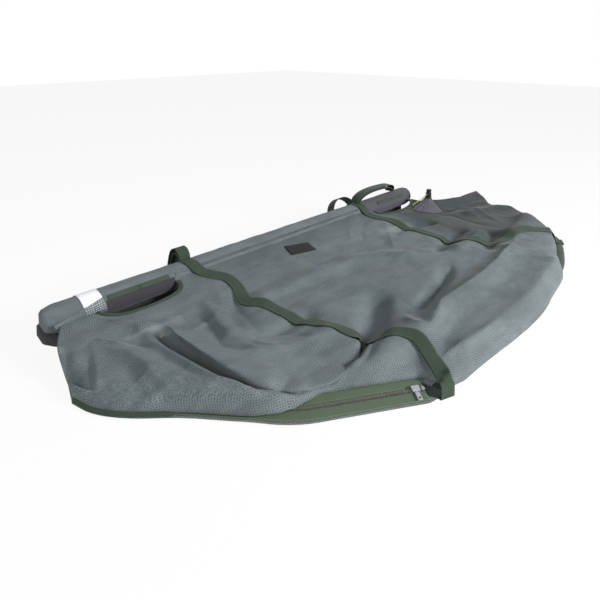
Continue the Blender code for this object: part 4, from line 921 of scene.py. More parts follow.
def shoulder(plan):
    """Height of the cloth beside the bar: it leaves the bar's shoulder between the two straps, and is
    pulled taut across the hand cut-outs."""
    away = EDGE_Y - plan[:, 1]
    middle, taut = np.interp(plan[:, 0], *BETWEEN_STRAPS), np.interp(plan[:, 0], *TAUT)
    hung = 0.052 + 0.0325 * np.exp(-(away + EDGE_OVER) / 0.024)
    pulled = 0.046 + 0.020 * np.exp(-away / 0.080)
    fade = eased(np.clip((SHOULDER_END - away) / SHOULDER_FADE, 0, 1))
    return (middle * hung + (1 - middle) * pulled), fade * np.maximum(middle, taut), middle, away


print("beside the bar: hung from", BETWEEN_STRAPS[0][1], "to", BETWEEN_STRAPS[0][2], "m")

# %% The drape
DOME, ROLL_START, HEM_RISE, FLOOR_CLEAR = 0.044, 0.72, 0.018, 0.010
CREASE_ROUND, DENT, SMALL_DENT = 0.0014, 0.0022, 0.0010
# Shares of the cloth, counted from an edge, over which the dome, the folds and the creases set in.
DOME_FROM_BAR, DOME_FROM_SIDE, FOLD_RIM, CREASE_RIM, LIP_RIM = 0.16, 0.05, 0.07, 0.03, 0.05
HEM_BAND, BULGE, BULGE_REACH, LIP_AHEAD = 0.9, 0.0062, 0.008, 0.006


def drape(s, t):
    """Points of the front cloth: s runs along the bar, t from the bar to the hem."""
    plan = between(SIDES, s, t)
    rim = np.minimum(np.minimum(t, 1 - t), np.minimum(s, 1 - s))
    edge = plan[:, 2].copy()
    fall = np.sqrt(np.clip(1 - np.clip((t - ROLL_START) / (1 - ROLL_START), 0, 1)**2, 0, 1))
    rise = np.clip(np.minimum(t / DOME_FROM_BAR, np.minimum(s, 1 - s) / DOME_FROM_SIDE), 0, 1)
    part = eased(rise) * fall
    spots = plan[:, :2].copy()
    swell, fine = np.zeros(len(s)), np.zeros(len(s))
    for lift, width, line in ROUND_FOLDS:
        swell += lift * np.exp(-(beside_line(spots, line)[0] / width)**2)
    for lift, width, line in CREASES:
        away, _, fade = beside_line(spots, line)
        fine += lift * fade * np.exp(-np.sqrt(away**2 + CREASE_ROUND**2) / width)
    wander = np.column_stack([spots * (1.0, 0.6), np.zeros(len(s))])
    fine += DENT * grain(wander, 14) + SMALL_DENT * grain(wander, 42, 7.0)
    swell = swell * np.clip(rim / FOLD_RIM, 0, 1) + fine * np.clip(rim / CREASE_RIM, 0, 1)
    height = edge * (1 - part) + DOME * part
    plan[:, 2] = np.maximum(height + swell, np.minimum(edge, FLOOR_CLEAR))
    above = edge + HEM_RISE * np.clip(np.minimum((1 - t) * 13, (1 - s) * 24), 0, 1)
    plan[:, 2] = np.where(t > HEM_BAND, np.maximum(plan[:, 2], above + fine * 0.5), plan[:, 2])
    raised, share, middle, beside = shoulder(plan)
    plan[:, 2] += share * np.maximum(0, raised + 0.6 * fine * np.clip(t / 0.05, 0, 1) - plan[:, 2])
    plan[:, 1] += middle * BULGE * np.exp(-np.maximum(beside, 0) / BULGE_REACH)
    for push, width, line in LIPS:
        away, side, fade = beside_line(spots, line)
        share = fade * np.exp(-((away - LIP_AHEAD) / width)**2) * np.clip(rim / LIP_RIM, 0, 1)
        plan[:, :2] -= side * (push * share)[:, None]
    return plan


print("drape: a dome of", DOME, "m that rolls down over the last", round(1 - ROLL_START, 2))

# %% [markdown]
# A hand reaches the bar through a cut-out: straight beside the bar and round on the other side. Boolean
# cuts would tear the grid's even rows, so the faces inside are dropped and the rim is drawn onto the
# outline.

# %% Hand cut-outs
FRONT_CUTS = {"left": -0.447, "right": 0.340}
REAR_CUTS = {"left": -0.452, "right": 0.336}
CUT_LENGTH, CUT_DEPTH, REAR_CUT_DEPTH, BACK_REACH, BINDING = 0.155, 0.030, 0.052, 0.010, 0.008


def cut_outline(left, inner_y, depth, steps=40):
    """A hand cut-out in plan: straight beside the bar, round on the side away from it."""
    a = np.linspace(0, math.pi, steps + 1)
    half = CUT_LENGTH / 2
    return np.column_stack([left + half - half * np.cos(a),
                            inner_y - depth * np.abs(np.sin(a)) ** 0.7])


def cuts_of(lefts, inner_y, depth, reach=0.0):
    """The closed outlines that are cut from a panel. Those that reach past its rim leave it open."""
    outlines = []
    for left in lefts.values():
        outline = cut_outline(left, inner_y, depth)
        back = [(left + CUT_LENGTH, inner_y + reach), (left, inner_y + reach)]
        outlines.append(np.vstack([outline, back] if reach else [outline]))
    return outlines


def cloth_area(item):
    """The area of a piece's faces in square metres."""
    return sum(face.area for face in item.data.polygons)


print("cut-outs: cut_outline, cuts_of, cloth_area")

# %% [markdown]
# The front panel's far edge is sewn to the bar that swings up, and its hem lies on the floor. Its
# points are baked in place, and it hangs on no body.

# %% The front cloth
LIFTS = ("bag", "upper_bar", (0, 0, 0.016), (0, 0, 0.060))
front_cuts = cuts_of(FRONT_CUTS, EDGE_Y, CUT_DEPTH, BACK_REACH)
front = settle(flat_grid(310, 150, drape, None, front_cuts), "front_net", net, "bag",
               ["front_mesh_panel"], FINE_CLOTH, LIFTS)
front_tree = surface(front)
print("front cloth:", len(front.data.polygons), "faces,", round(cloth_area(front), 3),
      "square metres")

# %% [markdown]
# The rear panel lies flat on the floor and shows as a fringe past the zip and the seam, and through the
# front cut-outs. It is one more flat grid with its own cut-outs, lifted a little where a strap runs
# beneath it, so the courses of the two straps are set first.

# %% Courses of the straps
STRAPS = {
    "left": mm([(-250, -6), (-242, -24), (-226, -38), (-200, -62), (-205, -104), (-224, -148),
        (-208, -184), (-204, -236), (-192, -300), (-179, -345), (-166, -388), (-139, -416),
        (-124, -446), (-130, -474), (-148, -498), (-160, -518)]),
    "right": mm([(285, -6), (292, -24), (308, -48), (332, -84), (344, -122), (345, -152),
        (339, -192), (337, -232), (341, -268), (358, -302), (386, -332), (424, -350), (470, -356),
        (525, -366), (560, -384), (588, -404), (606, -420)]),
}
STRAP_X = {"left": -0.250, "right": 0.285}
REAR_X = {"left": -0.292, "right": 0.285}


def under_course(side, hem_end):
    """Where a strap runs back beneath the rear panel, from the hem to the bars."""
    x, y = STRAP_X[side], -0.040
    return smooth_line([hem_end, ((hem_end[0] + x) / 2, (hem_end[1] + y) / 2), (x, y)], 40)


print("straps:", [round(run_of(course), 3) for course in STRAPS.values()], "m over the front")

# %% The rear panel
REAR_CUT_Y = REAR_AXIS[0] - BAR_RADIUS - 0.034
LIFT_REACH, LIFT_FADE, LIFT_START_Y = 0.075, 0.03, -0.02


def rear_sides():
    """The four edge curves of the rear panel, all on the floor."""
    zip_edge = zip_line(60)
    zip_edge = zip_edge + outward(zip_edge) * (ZIP_INNER + FRINGE)
    seam = smooth_line(SEAM_COURSE, 60)
    seam = seam + outward(seam) * (SEAM_WIDTH / 2 + FRINGE)
    end = smooth_line(END_SEAM_COURSE, 40)
    end = end + outward(end) * (SEAM_WIDTH / 2 + FRINGE)
    hem_y = REAR_AXIS[0] + BAR_RADIUS - 0.001
    bottom = even_steps(np.vstack([zip_edge, seam]), 120)
    right = smooth_line([(0.806, -0.118)] + [tuple(p) for p in end[::-13]] + [tuple(bottom[-1])],
                        60)
    top = even_steps(np.array([(-0.500, hem_y), (0.470, hem_y), (0.560, 0.018), (0.650, -0.022),
                               (0.735, -0.066), tuple(right[0])]), 120)
    left = smooth_line([tuple(top[0]), (-0.510, 0.000), (-0.538, -0.070), tuple(bottom[0])], 60)
    return [at_height(line, 0.0) for line in (top, bottom, left, right)]


REAR_SIDES = rear_sides()


def flat_rear(s, t):
    """Points of the rear cloth, lifted a little beside what runs beneath it."""
    plan = between(REAR_SIDES, s, t * t * 0.35 + t * 0.65)
    lines = [zip_line(30)] + [under_course(side, course[-1]) for side, course in STRAPS.items()]
    lines.append(smooth_line(SEAM_COURSE, 40)[:12])
    near = np.min([np.abs(beside_line(plan[:, :2], line)[0]) for line in lines], axis=0)
    lift = np.clip((LIFT_REACH - near) / LIFT_FADE, 0, 1) * (plan[:, 1] < LIFT_START_Y)
    plan[:, 2] = CLOTH + UNDER_LIFT * lift
    return plan


rear_cuts = cuts_of(REAR_CUTS, REAR_CUT_Y, REAR_CUT_DEPTH)
rear = settle(flat_grid(250, 110, flat_rear, None, rear_cuts), "rear_net", rear_net_painted_shade, "bag",
              ["rear_mesh_panel"], FINE_CLOTH)
rear_tree = surface(rear)
print("rear cloth:", len(rear.data.polygons), "faces,", round(cloth_area(rear), 3),
      "square metres")

# %% [markdown]
# Tapes are laid on the cloth as a hand would: the heights below are looked up at seven places across
# each step, the tape takes their slope, and then rests on the highest of them.

# %% Laying a tape
TAPE_LIFT, STEEPEST = 0.0004, 1.1
SMEAR = np.array((1, 2, 3, 2, 1)) / 9


def smeared(values):
    """Each value mixed with the two before it and the two after it."""
    return np.convolve(np.pad(values, 2, mode="edge"), SMEAR, "valid")


def lay(trees, line, sides, width, lift):
    """The middle line and the tilted width directions of a tape on what lies below it."""
    across = np.linspace(-0.5, 0.5, 7) * width
    rows = np.array([[height_at(trees, *(spot + side * k)) for k in across]
                     for spot, side in zip(line, sides)])
    wide = np.pad(rows, ((1, 1), (0, 0)), mode="edge")
    rows = np.fmax.reduce([wide[:-2], rows, wide[2:]])
    slopes = []
    for row in rows:
        known = np.isfinite(row)
        slopes.append(np.polyfit(across[known], row[known], 1)[0] if known.all() else 0)
    slopes = np.clip(smeared(slopes), -STEEPEST, STEEPEST)
    level = np.array([np.nanmax(row - slope * across) if np.isfinite(row).any() else CLOTH
                      for row, slope in zip(rows, slopes)])
    level = np.maximum(level, smeared(level))
    return at_height(line, level + lift), np.column_stack([sides, slopes])


def laid(name, line, trees, width, finish, replaced, cells=6, bow=0.0, blend=None, sides=None):
    """A tape of the bag on what lies below its line."""
    sides = outward(line) if sides is None else sides
    middle, across = lay(trees, line, sides, width, TAPE_LIFT)
    return ribbon(name, middle, across, width, FINE_TAPE, finish, "bag", replaced, cells, bow, blend)


print("tapes: lay, laid")

# %% Seam tapes
SEAM_BOW, CUT_BOW = 0.0006, 0.0010
seam = smooth_line(SEAM_COURSE, 150)
seam_tape = laid("bottom_seam_weave", seam, rear_tree, SEAM_WIDTH, binding,
                 ["bottom_seam_tape"], bow=SEAM_BOW)
end = smooth_line(SEAM_COURSE[-1:] + END_SEAM_COURSE, 66)
end_tape = laid("right_end_seam_weave", end, rear_tree, SEAM_WIDTH, binding,
                ["right_end_seam_tape"], bow=SEAM_BOW)
print("seam tapes:", round(run_of(seam) + run_of(end), 3), "m")

# %% [markdown]
# A coil zip is two woven tapes with nylon wire wound along the edge of each, so the tapes are ribbons
# and each coil is a wire round its own spine. The zip leans outwards, down to the floor, and at the left
# corner a binding runs along its outer edge.

# %% The zip's tapes
line = zip_line(160)
out = outward(line)
tilted = at_height(out * math.cos(ZIP_TILT), -math.sin(ZIP_TILT))
coil_line = at_height(line, COIL_Z)
reach = COIL_WIDTH / 2 + GAP + ZIP_TAPE_WIDTH / 2
tape_width = ZIP_TAPE_WIDTH - 2 * GAP
upper_tape, lower_tape = [
    ribbon(f"zip_{name}_weave", coil_line + tilted * shift, tilted, tape_width, FINE_TAPE,
           zip_cloth, "bag", [f"zip_{name}_tape"], 8)
    for name, shift in (("upper", -reach), ("lower", reach))]
CORNER_POINTS, CORNER_Z, CORNER_DIP, CORNER_WIDTH = 46, 0.0085, -0.9, 0.011
CORNER_THICK, CORNER_BOW = 0.0010, 0.0014
corner_out = outward(line[:CORNER_POINTS])
corner = line[:CORNER_POINTS] + corner_out * (ZIP_INNER - CORNER_THICK)
ribbon("corner_binding", at_height(corner, CORNER_Z), at_height(corner_out, CORNER_DIP),
       CORNER_WIDTH, CORNER_THICK, binding, "bag", [], 6, CORNER_BOW)
print("zip tapes:", round(run_of(coil_line), 3), "m")

# %% The zip's coil
COIL_PITCH, COIL_HALF, COIL_TALL, COIL_WIRE = 0.0024, 0.0018, 0.0014, 0.0006
TEETH_APART = 0.0012


def coil(name, side, replaced=()):
    """One row of coil teeth: nylon wire wound along the tape's edge."""
    turns = int(run_of(coil_line) / COIL_PITCH)
    at = np.linspace(2, len(line) - 3, turns * 7)
    spine, across = [np.stack([np.interp(at, range(len(line)), values[:, k]) for k in range(3)],
                              axis=1) for values in (coil_line, tilted)]
    rise = unit(np.cross(across, np.gradient(spine, axis=0)))
    a = np.linspace(0, 2 * math.pi * turns, len(at)) + (0 if side < 0 else math.pi)
    points = (spine + across * (side * TEETH_APART + COIL_HALF * np.cos(a))[:, None]
              + rise * (COIL_HALF + COIL_TALL * np.sin(a))[:, None])
    return wire(name, points, COIL_WIRE, nylon, "bag", replaced)


upper_coil = coil("zip_coil_upper", -1, ["zip_coil"])
lower_coil = coil("zip_coil_lower", 1)
refinish(metal, "zip_corner_stop", "zip_strap_stop", "zip_slider", "zip_pull")
print("zip:", len(upper_coil.data.polygons) + len(lower_coil.data.polygons), "faces in its coil")

# %% [markdown]
# A strap follows its course over the cloth, turns under the hem and runs back beneath the bag. Where it
# meets the hem at a slant, its fold lies along the hem, as stiff webbing folds. Like the front cloth,
# its points are baked in place, and it hangs on no body.

# %% What a strap lies on
below = front_tree + rear_tree + surface(
    seam_tape, end_tape, upper_tape, lower_tape, nodes["zip_coil"], nodes["zip_strap_stop"],
    nodes["front_bar_sleeve"])
STEP, TURN_STEPS, RAMP_STEPS, STRAP_LIFT, HEM_STEP = 0.0035, 24, 10, 0.0006, 0.001


def to_hem(line, way, flank):
    """How far each edge of a strap has to run on from its line to leave the cloth."""
    found = []
    for k in (-WEB_WIDTH / 2, WEB_WIDTH / 2):
        run = 0.0
        while np.isfinite(height_at(front_tree + rear_tree, *(line[-1] + way * run + flank * k))):
            run += HEM_STEP
        found.append(run)
    return found


print("below the straps:", len(below), "surfaces")

# %% Straps
for side, course in STRAPS.items():
    line = smooth_line(course, 150)[:-RAMP_STEPS]
    way = (line[-1] - line[-8]) / np.linalg.norm(line[-1] - line[-8])
    flank = np.array([way[1], -way[0]])
    near, far = to_hem(line, way, flank)
    slant = (far - near) / WEB_WIDTH
    line = np.vstack([line] + [line[-1:] + way * k for k in np.arange(STEP, (near + far) / 2, STEP)])
    sides = outward(line)
    turned = np.arange(TURN_STEPS)[:, None] / TURN_STEPS
    sides[:TURN_STEPS] = sides[:TURN_STEPS] * turned + np.array([-1, 0]) * (1 - turned)
    sides[-4:] = flank
    sides = unit(sides)
    ramp = np.clip((np.arange(len(line)) - len(line) + RAMP_STEPS + 1) / RAMP_STEPS, 0, 1)
    sides = sides + way * (slant * ramp)[:, None]
    middle, across = lay(below, line, sides, WEB_WIDTH, STRAP_LIFT)
    across[-3:, 2] = 0
    edge = line[-1] + way * 0.0045
    down = CLOTH + UNDER_LIFT
    turn = [(*(edge - way * 0.0006), down + 0.0010), (*edge, down - 0.0006),
            (*(edge - way * 0.0008), WEB + 0.0002)]
    under = under_course(side, tuple(edge - way * 0.0040))
    way_under = np.gradient(under, axis=0)
    under_sides = unit(np.column_stack([-way_under[:, 1], way_under[:, 0], np.zeros(len(under))]))
    back = np.clip(1 - np.arange(len(under)) / 5, 0, 1)[:, None]
    under_sides = under_sides * (1 - back) + np.array([*sides[-1], 0]) * back
    middle = np.vstack([middle, turn, at_height(under, WEB)])
    across = np.vstack([across, [(*sides[-1], 0)] * 3, under_sides])
    widths = WEB_WIDTH * np.linalg.norm(across[:, :2], axis=1)
    print(f"{side} strap: leans {math.degrees(math.atan(slant)):.0f} degrees where it turns under")
    ribbon(f"{side}_strap_weave", middle, across, widths, FINE_WEB, webbing, "bag",
           [f"{side}_strap"], 10, blend=LIFTS)

# %% [markdown]
# A binding is a folded tape sewn over a raw edge. It follows the outline of each cut-out half its width
# away, with a bow for its fold, and along the bar a short band closes the ring.

# %% Bindings round the cut-outs
for side, left in FRONT_CUTS.items():
    outline = even_steps(cut_outline(left, EDGE_Y, CUT_DEPTH, 80), 90)[1:-1]
    line = outline + outward(outline) * (BINDING / 2 - FINE_TAPE)
    laid(f"front_{side}_cutout_weave", line, front_tree, BINDING, binding,
         [f"front_{side}_cutout_binding"], bow=CUT_BOW, blend=LIFTS)
    arc_band(f"front_{side}_cutout_top_weave", left + CUT_LENGTH / 2 + 0.004, CUT_LENGTH - 0.030,
             24, 44, BAR_RADIUS + 0.0010, 0.0007, binding, "upper_bar", FRONT_AXIS,
             [f"front_{side}_cutout_top_binding"], 8, 24)
for side, left in REAR_CUTS.items():
    outline = cut_outline(left, REAR_CUT_Y, REAR_CUT_DEPTH, 80)
    ring = even_steps(np.vstack([outline, outline[:1]]), 140)
    flank = outward(ring)
    flank[0] = flank[-1] = (flank[1] + flank[-2]) / 2
    laid(f"rear_{side}_cutout_weave", ring + flank * (BINDING / 2 - FINE_TAPE), rear_tree, BINDING,
         binding, [f"rear_{side}_cutout_binding"], bow=CUT_BOW, sides=flank)
print("bindings:", 2 * len(FRONT_CUTS) + len(REAR_CUTS), "pieces")

# %% [markdown]
# A small black patch is sewn on the front near the bar. It is bare, and lies on the folds like a tape.

# %% The blank patch
PATCH_AT, PATCH_SIZE, PATCH_TURN = (0.014, -0.060), (0.066, 0.033), math.radians(-11)
turned = np.array([math.cos(PATCH_TURN), math.sin(PATCH_TURN)])
row = np.array(PATCH_AT) + np.linspace(-0.5, 0.5, 28)[:, None] * turned * PATCH_SIZE[0]
laid("blank_patch_cloth", row, front_tree, PATCH_SIZE[1], patch_cloth, ["label_patch"], 12,
     blend=LIFTS)
print("patch:", PATCH_SIZE, "m, bare")

# %% [markdown]
# Each bar is one skin over its foam: a sleeve, a flat sewn end on the left and a rounded end on the
# right. One grid is rolled round the bar, with a radius for each place along it, and its two rims turn
# inwards to close it. Small wrinkles run along it and pleats stand at both ends.

# %% The bars
END_LEFT, END_RIGHT = 0.028, 0.026
LEFT_RADII = ((0.0, 0.02, 0.05, 0.3, 0.7, 1.0), (0.0, 0.40, 0.55, 0.86, 0.97, 1.0))
RIGHT_RADII = ((0.0, 0.35, 0.7, 0.92, 1.0), (1.0, 0.95, 0.74, 0.42, 0.0))
END_STITCH, END_STITCH_WIDTH, END_SQUEEZE, FLATTENED = 0.05, 0.0016, 0.035, 0.45
RIPPLE, SMALL_RIPPLE, SEAM_RISE, SEAM_HALF, SEAM_AT = 0.0006, 0.0004, 0.0006, 0.0012, 0.30


def bar_skin(name, axis, lift, finish, body, replaced):
    """The skin of one bar. lift raises its flat left end."""
    steps = np.concatenate([np.linspace(0, 0.07, 16), np.linspace(0.08, 0.90, 200),
                            np.linspace(0.91, 1.0, 24)])
    share = np.linspace(0, 1, len(steps))
    low, high = -BAR_END - END_LEFT, BAR_END + END_RIGHT

    def place(s, t):
        x = low + np.interp(t, share, steps) * (high - low)
        fold = np.clip((-BAR_END - x) / END_LEFT, 0, 1)
        round_off = np.clip((x - BAR_END) / END_RIGHT, 0, 1)
        part = np.interp(1 - fold, *LEFT_RADII) * np.interp(round_off, *RIGHT_RADII)
        a = 2 * math.pi * s
        pleat = 0.060 * fold * np.cos(7 * a + 6 * fold) + 0.030 * round_off * np.cos(14 * a)
        pleat -= END_STITCH * np.exp(-((x + BAR_END) / END_STITCH_WIDTH)**2)
        around = np.column_stack([x * 0.5, np.cos(a) * 0.03, np.sin(a) * 0.03])
        ripple = RIPPLE * grain(around, 60) + SMALL_RIPPLE * (grain(around, 160, 5.0) - 1)
        off_seam = (np.mod(s, 1) - SEAM_AT) * 2 * math.pi * BAR_RADIUS
        seam = SEAM_RISE * np.exp(-(off_seam / SEAM_HALF)**2)
        radius = BAR_RADIUS * part * (1 + pleat - END_SQUEEZE * (fold + round_off))
        radius += (ripple + seam) * np.clip(part * 2 - 1, 0, 1)
        y = axis[0] + radius * np.cos(a) * (1 - FLATTENED * fold)
        return np.column_stack([x, y, axis[1] + radius * np.sin(a) + lift * fold])

    bm = flat_grid(96, len(steps) - 1, place, (2 * math.pi * BAR_RADIUS, high - low))
    return settle(closed(bm), name, finish, body, replaced)


front_bar = bar_skin("front_bar_skin", FRONT_AXIS, 0.0, sleeve_cloth, "upper_bar",
                     ["front_bar_sleeve", "front_bar_left_end", "front_bar_right_end"])
# The rear bar's skin is darkened with painted shade.
rear_bar = bar_skin("rear_bar_skin", REAR_AXIS, 0.009, painted_shade_sleeve, "bag",
                    ["rear_bar_sleeve", "rear_bar_left_end", "rear_bar_right_end"])
print("bar skins:", [len(bar.data.polygons) for bar in (front_bar, rear_bar)], "faces")

# %% [markdown]
# The mesh is sewn on over the front bar, webbing is wrapped round both bars where the straps start, and
# a reflective band marks the left end. The mesh strips follow the bar's round in two angles, one at
# each end, and the rest are bands.

# %% Mesh sewn over the bar, wraps and band
seat, web_seat, FACING_LIFT = BAR_RADIUS + 0.0004, BAR_RADIUS + 0.0006, 0.0007
BAND_X, BAND_WIDTH, BAND_THICK = -0.4525, 0.036, 0.0006
for name, x0, x1, top0, top1, low in (("facing_left", -0.524, -0.432, 2, 44, -16),
                                      ("facing_cut", -0.432, -0.292, 44, 44, 26),
                                      ("facing_middle", -0.292, 0.285, 43, 43, 30)):
    def place(s, t):
        top = top0 + (top1 - top0) * s
        a = np.radians(top + (low - top) * t)
        x = x0 + (x1 - x0) * s
        r = seat + FACING_LIFT
        return np.column_stack([x, FRONT_AXIS[0] - r * np.cos(a), FRONT_AXIS[1] + r * np.sin(a)])
    settle(flat_grid(40, 16, place, (x1 - x0, 0.026)), name, net, "upper_bar", [], FINE_CLOTH)

WRAPS = (("front", STRAP_X, 62, 170, FRONT_AXIS, "upper_bar"),
         ("rear", REAR_X, 95, 232, REAR_AXIS, "bag"))
for bar, places, start, stop, axis, body in WRAPS:
    for side, x in places.items():
        arc_band(f"{bar}_{side}_wrap_weave", x, WEB_WIDTH, start, stop, web_seat, WEB, webbing, body,
                 axis, [f"{bar}_{side}_wrap"], 50, 8)
arc_band("reflective_weave", BAND_X, BAND_WIDTH, -6, 188, seat, BAND_THICK, glint, "upper_bar",
         FRONT_AXIS, ["reflective_band"], 60, 10)
print("on the bars: three facings, four wraps and the band")

# %% [markdown]
# A handle is a strip of webbing folded into a loop, sewn down at its ends. A path of a few points in
# one plane is enough, made smooth, because webbing bends across its width only. Each rides on a body
# of its own, so that it can be lifted.

# %% Handles of the front bar
HANDLE_SEAT = BAR_RADIUS + 2 * GAP + WEB + 0.0004
top = FRONT_AXIS[1] + HANDLE_SEAT


def handle(name, path, across):
    """A loop of webbing along its path, on the body of the same name."""
    path = smooth_line(path, 110)
    ribbon(f"{name}_weave", path, np.tile(np.array(across, float), (len(path), 1)), WEB_WIDTH,
           FINE_WEB, webbing, name, [name], 10)


x, y = STRAP_X["left"], 0.0010
folded = [(y + WEB, 0), (0.0034, 0.0090), (0.0095, 0.0170), (0.0190, 0.0190), (0.0290, 0.0135),
          (0.0370, 0.0020), (0.0435, -0.0120), (0.0480, -0.0240), (0.0478, -0.0300),
          (0.0438, -0.0305), (0.0405, -0.0230), (0.0360, -0.0110), (0.0300, 0.0010),
          (0.0240, 0.0090), (0.0175, 0.0120), (0.0120, 0.0098), (0.0088, 0.0050),
          (0.0075, 0.0004)]
handle("front_left_handle", [(x, y, top + z) for y, z in folded], (1, 0, 0))

start = STRAP_X["right"] - 0.004
far = start + 0.150 + 0.015
along_bar = [(start + WEB, 0), (start + 0.012, 0.0130), (start + 0.040, 0.0220),
             (start + 0.085, 0.0250), (far - 0.022, 0.0225), (far - 0.005, 0.0175),
             (far, 0.0095), (far - 0.0025, 0.0032), (far - 0.0075, 0.0036),
             (far - 0.0085, 0.0100), (far - 0.024, 0.0168), (start + 0.085, 0.0200),
             (start + 0.043, 0.0172), (start + 0.018, 0.0095), (start + 0.0080, 0.0004)]
handle("front_right_handle", [(x, 0, top + z) for x, z in along_bar], (0, -1, 0))
print("front handles: one folded over to the front, one along the bar")

# %% Handles of the rear bar
angle = math.radians(115)
out_way = np.array([0, -math.cos(angle), math.sin(angle)])
back_way = np.array([0, math.sin(angle), math.cos(angle)])
half, height = 0.046, 0.047
arch = [(-half - 0.016, -0.0016), (-half - 0.004, -0.0012), (-half + 0.004, 0.006)]
arch += [(half * math.cos(a), height * math.sin(a) ** 0.8)
         for a in np.radians(np.linspace(160, 20, 9))]
arch += [(half - 0.004, 0.006), (half + 0.004, 0.0010), (half + 0.016, 0.0004)]
handle("rear_right_handle", [np.array([0.288 + x, *REAR_AXIS]) + out_way * (HANDLE_SEAT + n)
                             for x, n in arch], -back_way)

back = REAR_AXIS[0] + BAR_RADIUS + 2 * GAP + WEB
floor_loop = [(back, 0.0240), (back + 0.0032, 0.0130), (back + 0.016, 0.0050), (0.092, 0.0008),
              (0.120, 0.0005), (0.145, 0.0005), (0.1585, 0.0014), (0.1640, 0.0062),
              (0.1590, 0.0112), (0.145, 0.0118), (0.120, 0.0105), (0.095, 0.0108),
              (back + 0.018, 0.0150), (back + 0.007, 0.0215), (back + 0.0012, 0.0256)]
handle("rear_left_handle", [(REAR_X["left"], y, z) for y, z in floor_loop], (1, 0, 0))
print("rear handles: one arch that stands up, one loop that lies on the floor")

# %% [markdown]
# Fine cloth closes the bag past the bars. Its drawcord gathers it into a leaning cone on top: rings that
# shrink towards the cord lock, with sharp pleats that stand between them.

# %% End cloth
CREST_HEIGHTS = ((0.0, 0.3, 0.55, 0.78, 0.90, 1.0), (0.058, 0.052, 0.050, 0.062, 0.040, 0.014))
CLOTH_DEPTHS = ((0, 0.7, 1), (0.046, 0.040, 0.014))


def end_cloth(s, t):
    """The end cloth: s runs along its crest, t from the crest to the floor."""
    rim = [(x, y + 0.007) for x, y, _ in COLLAR_EDGE[1:]]
    crest = smooth_line([(0.556, -0.046)] + rim + [(0.785, -0.150)], 60)
    at = s * (len(crest) - 1)
    x, y = [np.interp(at, range(len(crest)), crest[:, k]) for k in (0, 1)]
    crest_z, depth = np.interp(s, *CREST_HEIGHTS), np.interp(s, *CLOTH_DEPTHS)
    foot = CLOTH + 2 * GAP
    pucker = (0.0016 * np.sin(s * 95) + 0.0012 * np.sin(s * 41 + 2)) * np.sin(math.pi * t)
    z = foot + (crest_z - foot) * (1 - t) ** 1.5
    return np.column_stack([x + 0.25 * depth * t, y + depth * t + pucker, z + 0.4 * pucker])


gusset = settle(flat_grid(150, 36, end_cloth, (0.26, 0.07)), "end_cloth", fine_cloth, "bag",
                ["end_gusset"], FINE_CLOTH)
print("end cloth:", len(gusset.data.polygons), "faces")

# %% The collar
FOOT, TIP, TIP_Z = np.array((0.494, -0.098)), np.array((0.519, -0.081)), 0.0775
LONG_WAY, SHORT_WAY = np.array([0.885, -0.466]), np.array([0.466, 0.885])
HALF_LONG, HALF_SHORT, NECK_HALF, COLLAR_PLEATS = 0.048, 0.021, 0.0095, 13
COLLAR_THICK, NECK_CORD_RADIUS = 0.0005, 0.0010


def gathered(s, t):
    """The collar: s runs round it, t from the neck down to its foot."""
    share = 1 - t
    spread = t ** 1.4
    a = 2 * math.pi * s
    sharp = 1 - 2 * np.abs(np.mod(s * COLLAR_PLEATS + 0.15 * np.sin(3 * a), 1) * 2 - 1)
    pleat = 1 + sharp * (0.09 + 0.05 * np.sin(2 * a + 1)) * np.clip(share * 3 + 0.35, 0, 1)
    centre = FOOT * spread[:, None] + TIP * (1 - spread)[:, None]
    half = [NECK_HALF + (h - NECK_HALF) * spread for h in (HALF_LONG, HALF_SHORT)]
    spots = (centre + LONG_WAY * (half[0] * pleat * np.cos(a))[:, None]
             + SHORT_WAY * (half[1] * pleat * np.sin(a))[:, None])
    feet = (FOOT + LONG_WAY * (HALF_LONG * np.cos(a))[:, None]
            + SHORT_WAY * (HALF_SHORT * np.sin(a))[:, None])
    level = np.array([height_at(front_tree, *spot) for spot in feet]) + 3 * GAP
    return np.column_stack([spots, (level + 0.0010) * t + TIP_Z * share])


collar = settle(closed(flat_grid(208, 30, gathered, (0.24, 0.045))), "gathered_collar",
                fine_cloth, "bag", ["drawcord_collar"], COLLAR_THICK)
neck = [(*(TIP + 0.0089 * (LONG_WAY * math.cos(a) + SHORT_WAY * math.sin(a))), TIP_Z - 0.0009)
        for a in np.linspace(0, 2 * math.pi, 40)]
wire("neck_cord", neck, NECK_CORD_RADIUS, fine_cloth, "bag")
print("collar:", len(collar.data.polygons), "faces")

# %% [markdown]
# The cord comes out of the neck, goes up through the lock's cross hole and down again to the collar's
# foot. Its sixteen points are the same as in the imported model. It stays a curve, as a cord may.

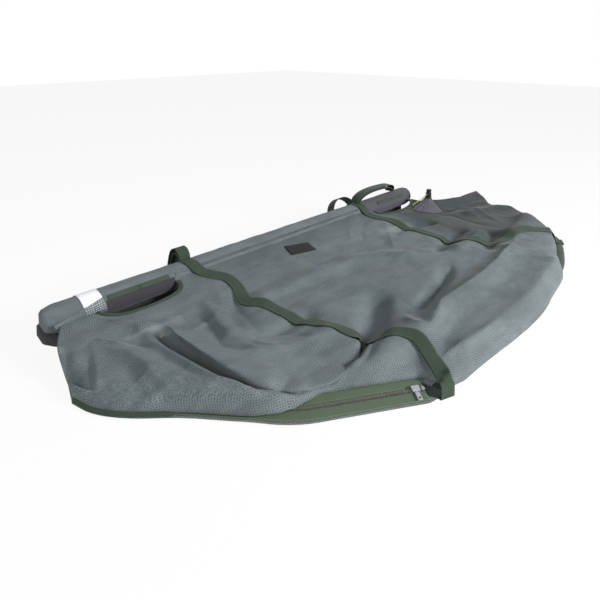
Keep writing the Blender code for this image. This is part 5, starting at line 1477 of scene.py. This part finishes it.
# %% Cord lock and cord
LOCK_WALL, SPRING_ROOM, PLUNGER_TRAVEL, CORD_RADIUS = 0.0014, 0.0014, 0.004, 0.0013
PLUNGER_FLOOR, CORD_HOLE = 0.0010, 0.0018
x, y = TIP
cord_z = (TIP_Z + GAP + LOCK_WALL + GAP + SPRING_ROOM + PLUNGER_TRAVEL + GAP + PLUNGER_FLOOR
          + CORD_HOLE)
rise = TIP_Z - cord_z
cord_points = [(x + dx / 1000, y + dy / 1000, cord_z + dz) for dx, dy, dz in (
    (14.6, -1.0, rise - 0.0025), (14.9, -0.6, rise + 0.0018), (14.3, 0, rise + 0.0062),
    (12.6, 0, -0.0015), (9.5, 0, -0.0001), (4.0, 0, 0), (-4.0, 0, 0), (-10.0, 0, -0.0001),
    (-13.5, 0.1, -0.0008), (-17.0, 0.5, -0.0020), (-23.5, 2.0, -0.0060), (-30.0, 4.5, -0.0100),
    (-37.0, 7.0, -0.0135), (-44.0, 9.5, -0.0165), (-51.0, 11.5, -0.0195), (-58.0, 13.5, -0.0230))]
cord_curve = round_curve("drawcord_braid", cord_points, CORD_RADIUS, 4)
cord_curve.materials.append(cord_braid.material)
cord = stand("drawcord_braid", cord_curve)
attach(cord, "bag")
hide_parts("drawcord")
refinish(black, "cord_lock_barrel", "cord_lock_plunger")
refinish(foam, "front_bar_foam", "rear_bar_foam")

# %% [markdown]
# The spring in the cord lock is wire wound on a core: a helix, so its points come from one turning
# angle. It spans the imported spring's length, from its seat up.

# %% The spring
low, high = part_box("cord_lock_spring")
SPRING_WIRE, SPRING_TURNS, SPRING_PRESSED = 0.00015, 4, 0.26
a = np.linspace(0, 2 * math.pi * SPRING_TURNS, SPRING_TURNS * 20)
ring = (high[0] - low[0]) / 2 - SPRING_WIRE
seat = ((low[0] + high[0]) / 2, (low[1] + high[1]) / 2, low[2])
coiled = np.column_stack([seat[0] + ring * np.cos(a), seat[1] + ring * np.sin(a),
                          np.linspace(low[2] + SPRING_WIRE, high[2] - SPRING_WIRE, len(a))])
spring = wire("wound_spring", coiled, SPRING_WIRE, steel, "bag", ["cord_lock_spring"])
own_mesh(spring)
print("spring:", round((high[2] - low[2]) * 1000, 2), "mm long")

# %% [markdown]
# The area of each cloth sheet as laid is printed.

# %% Cloth areas
for item in (front, rear, gusset, collar):
    print(item.name, round(cloth_area(item), 4), "square metres")
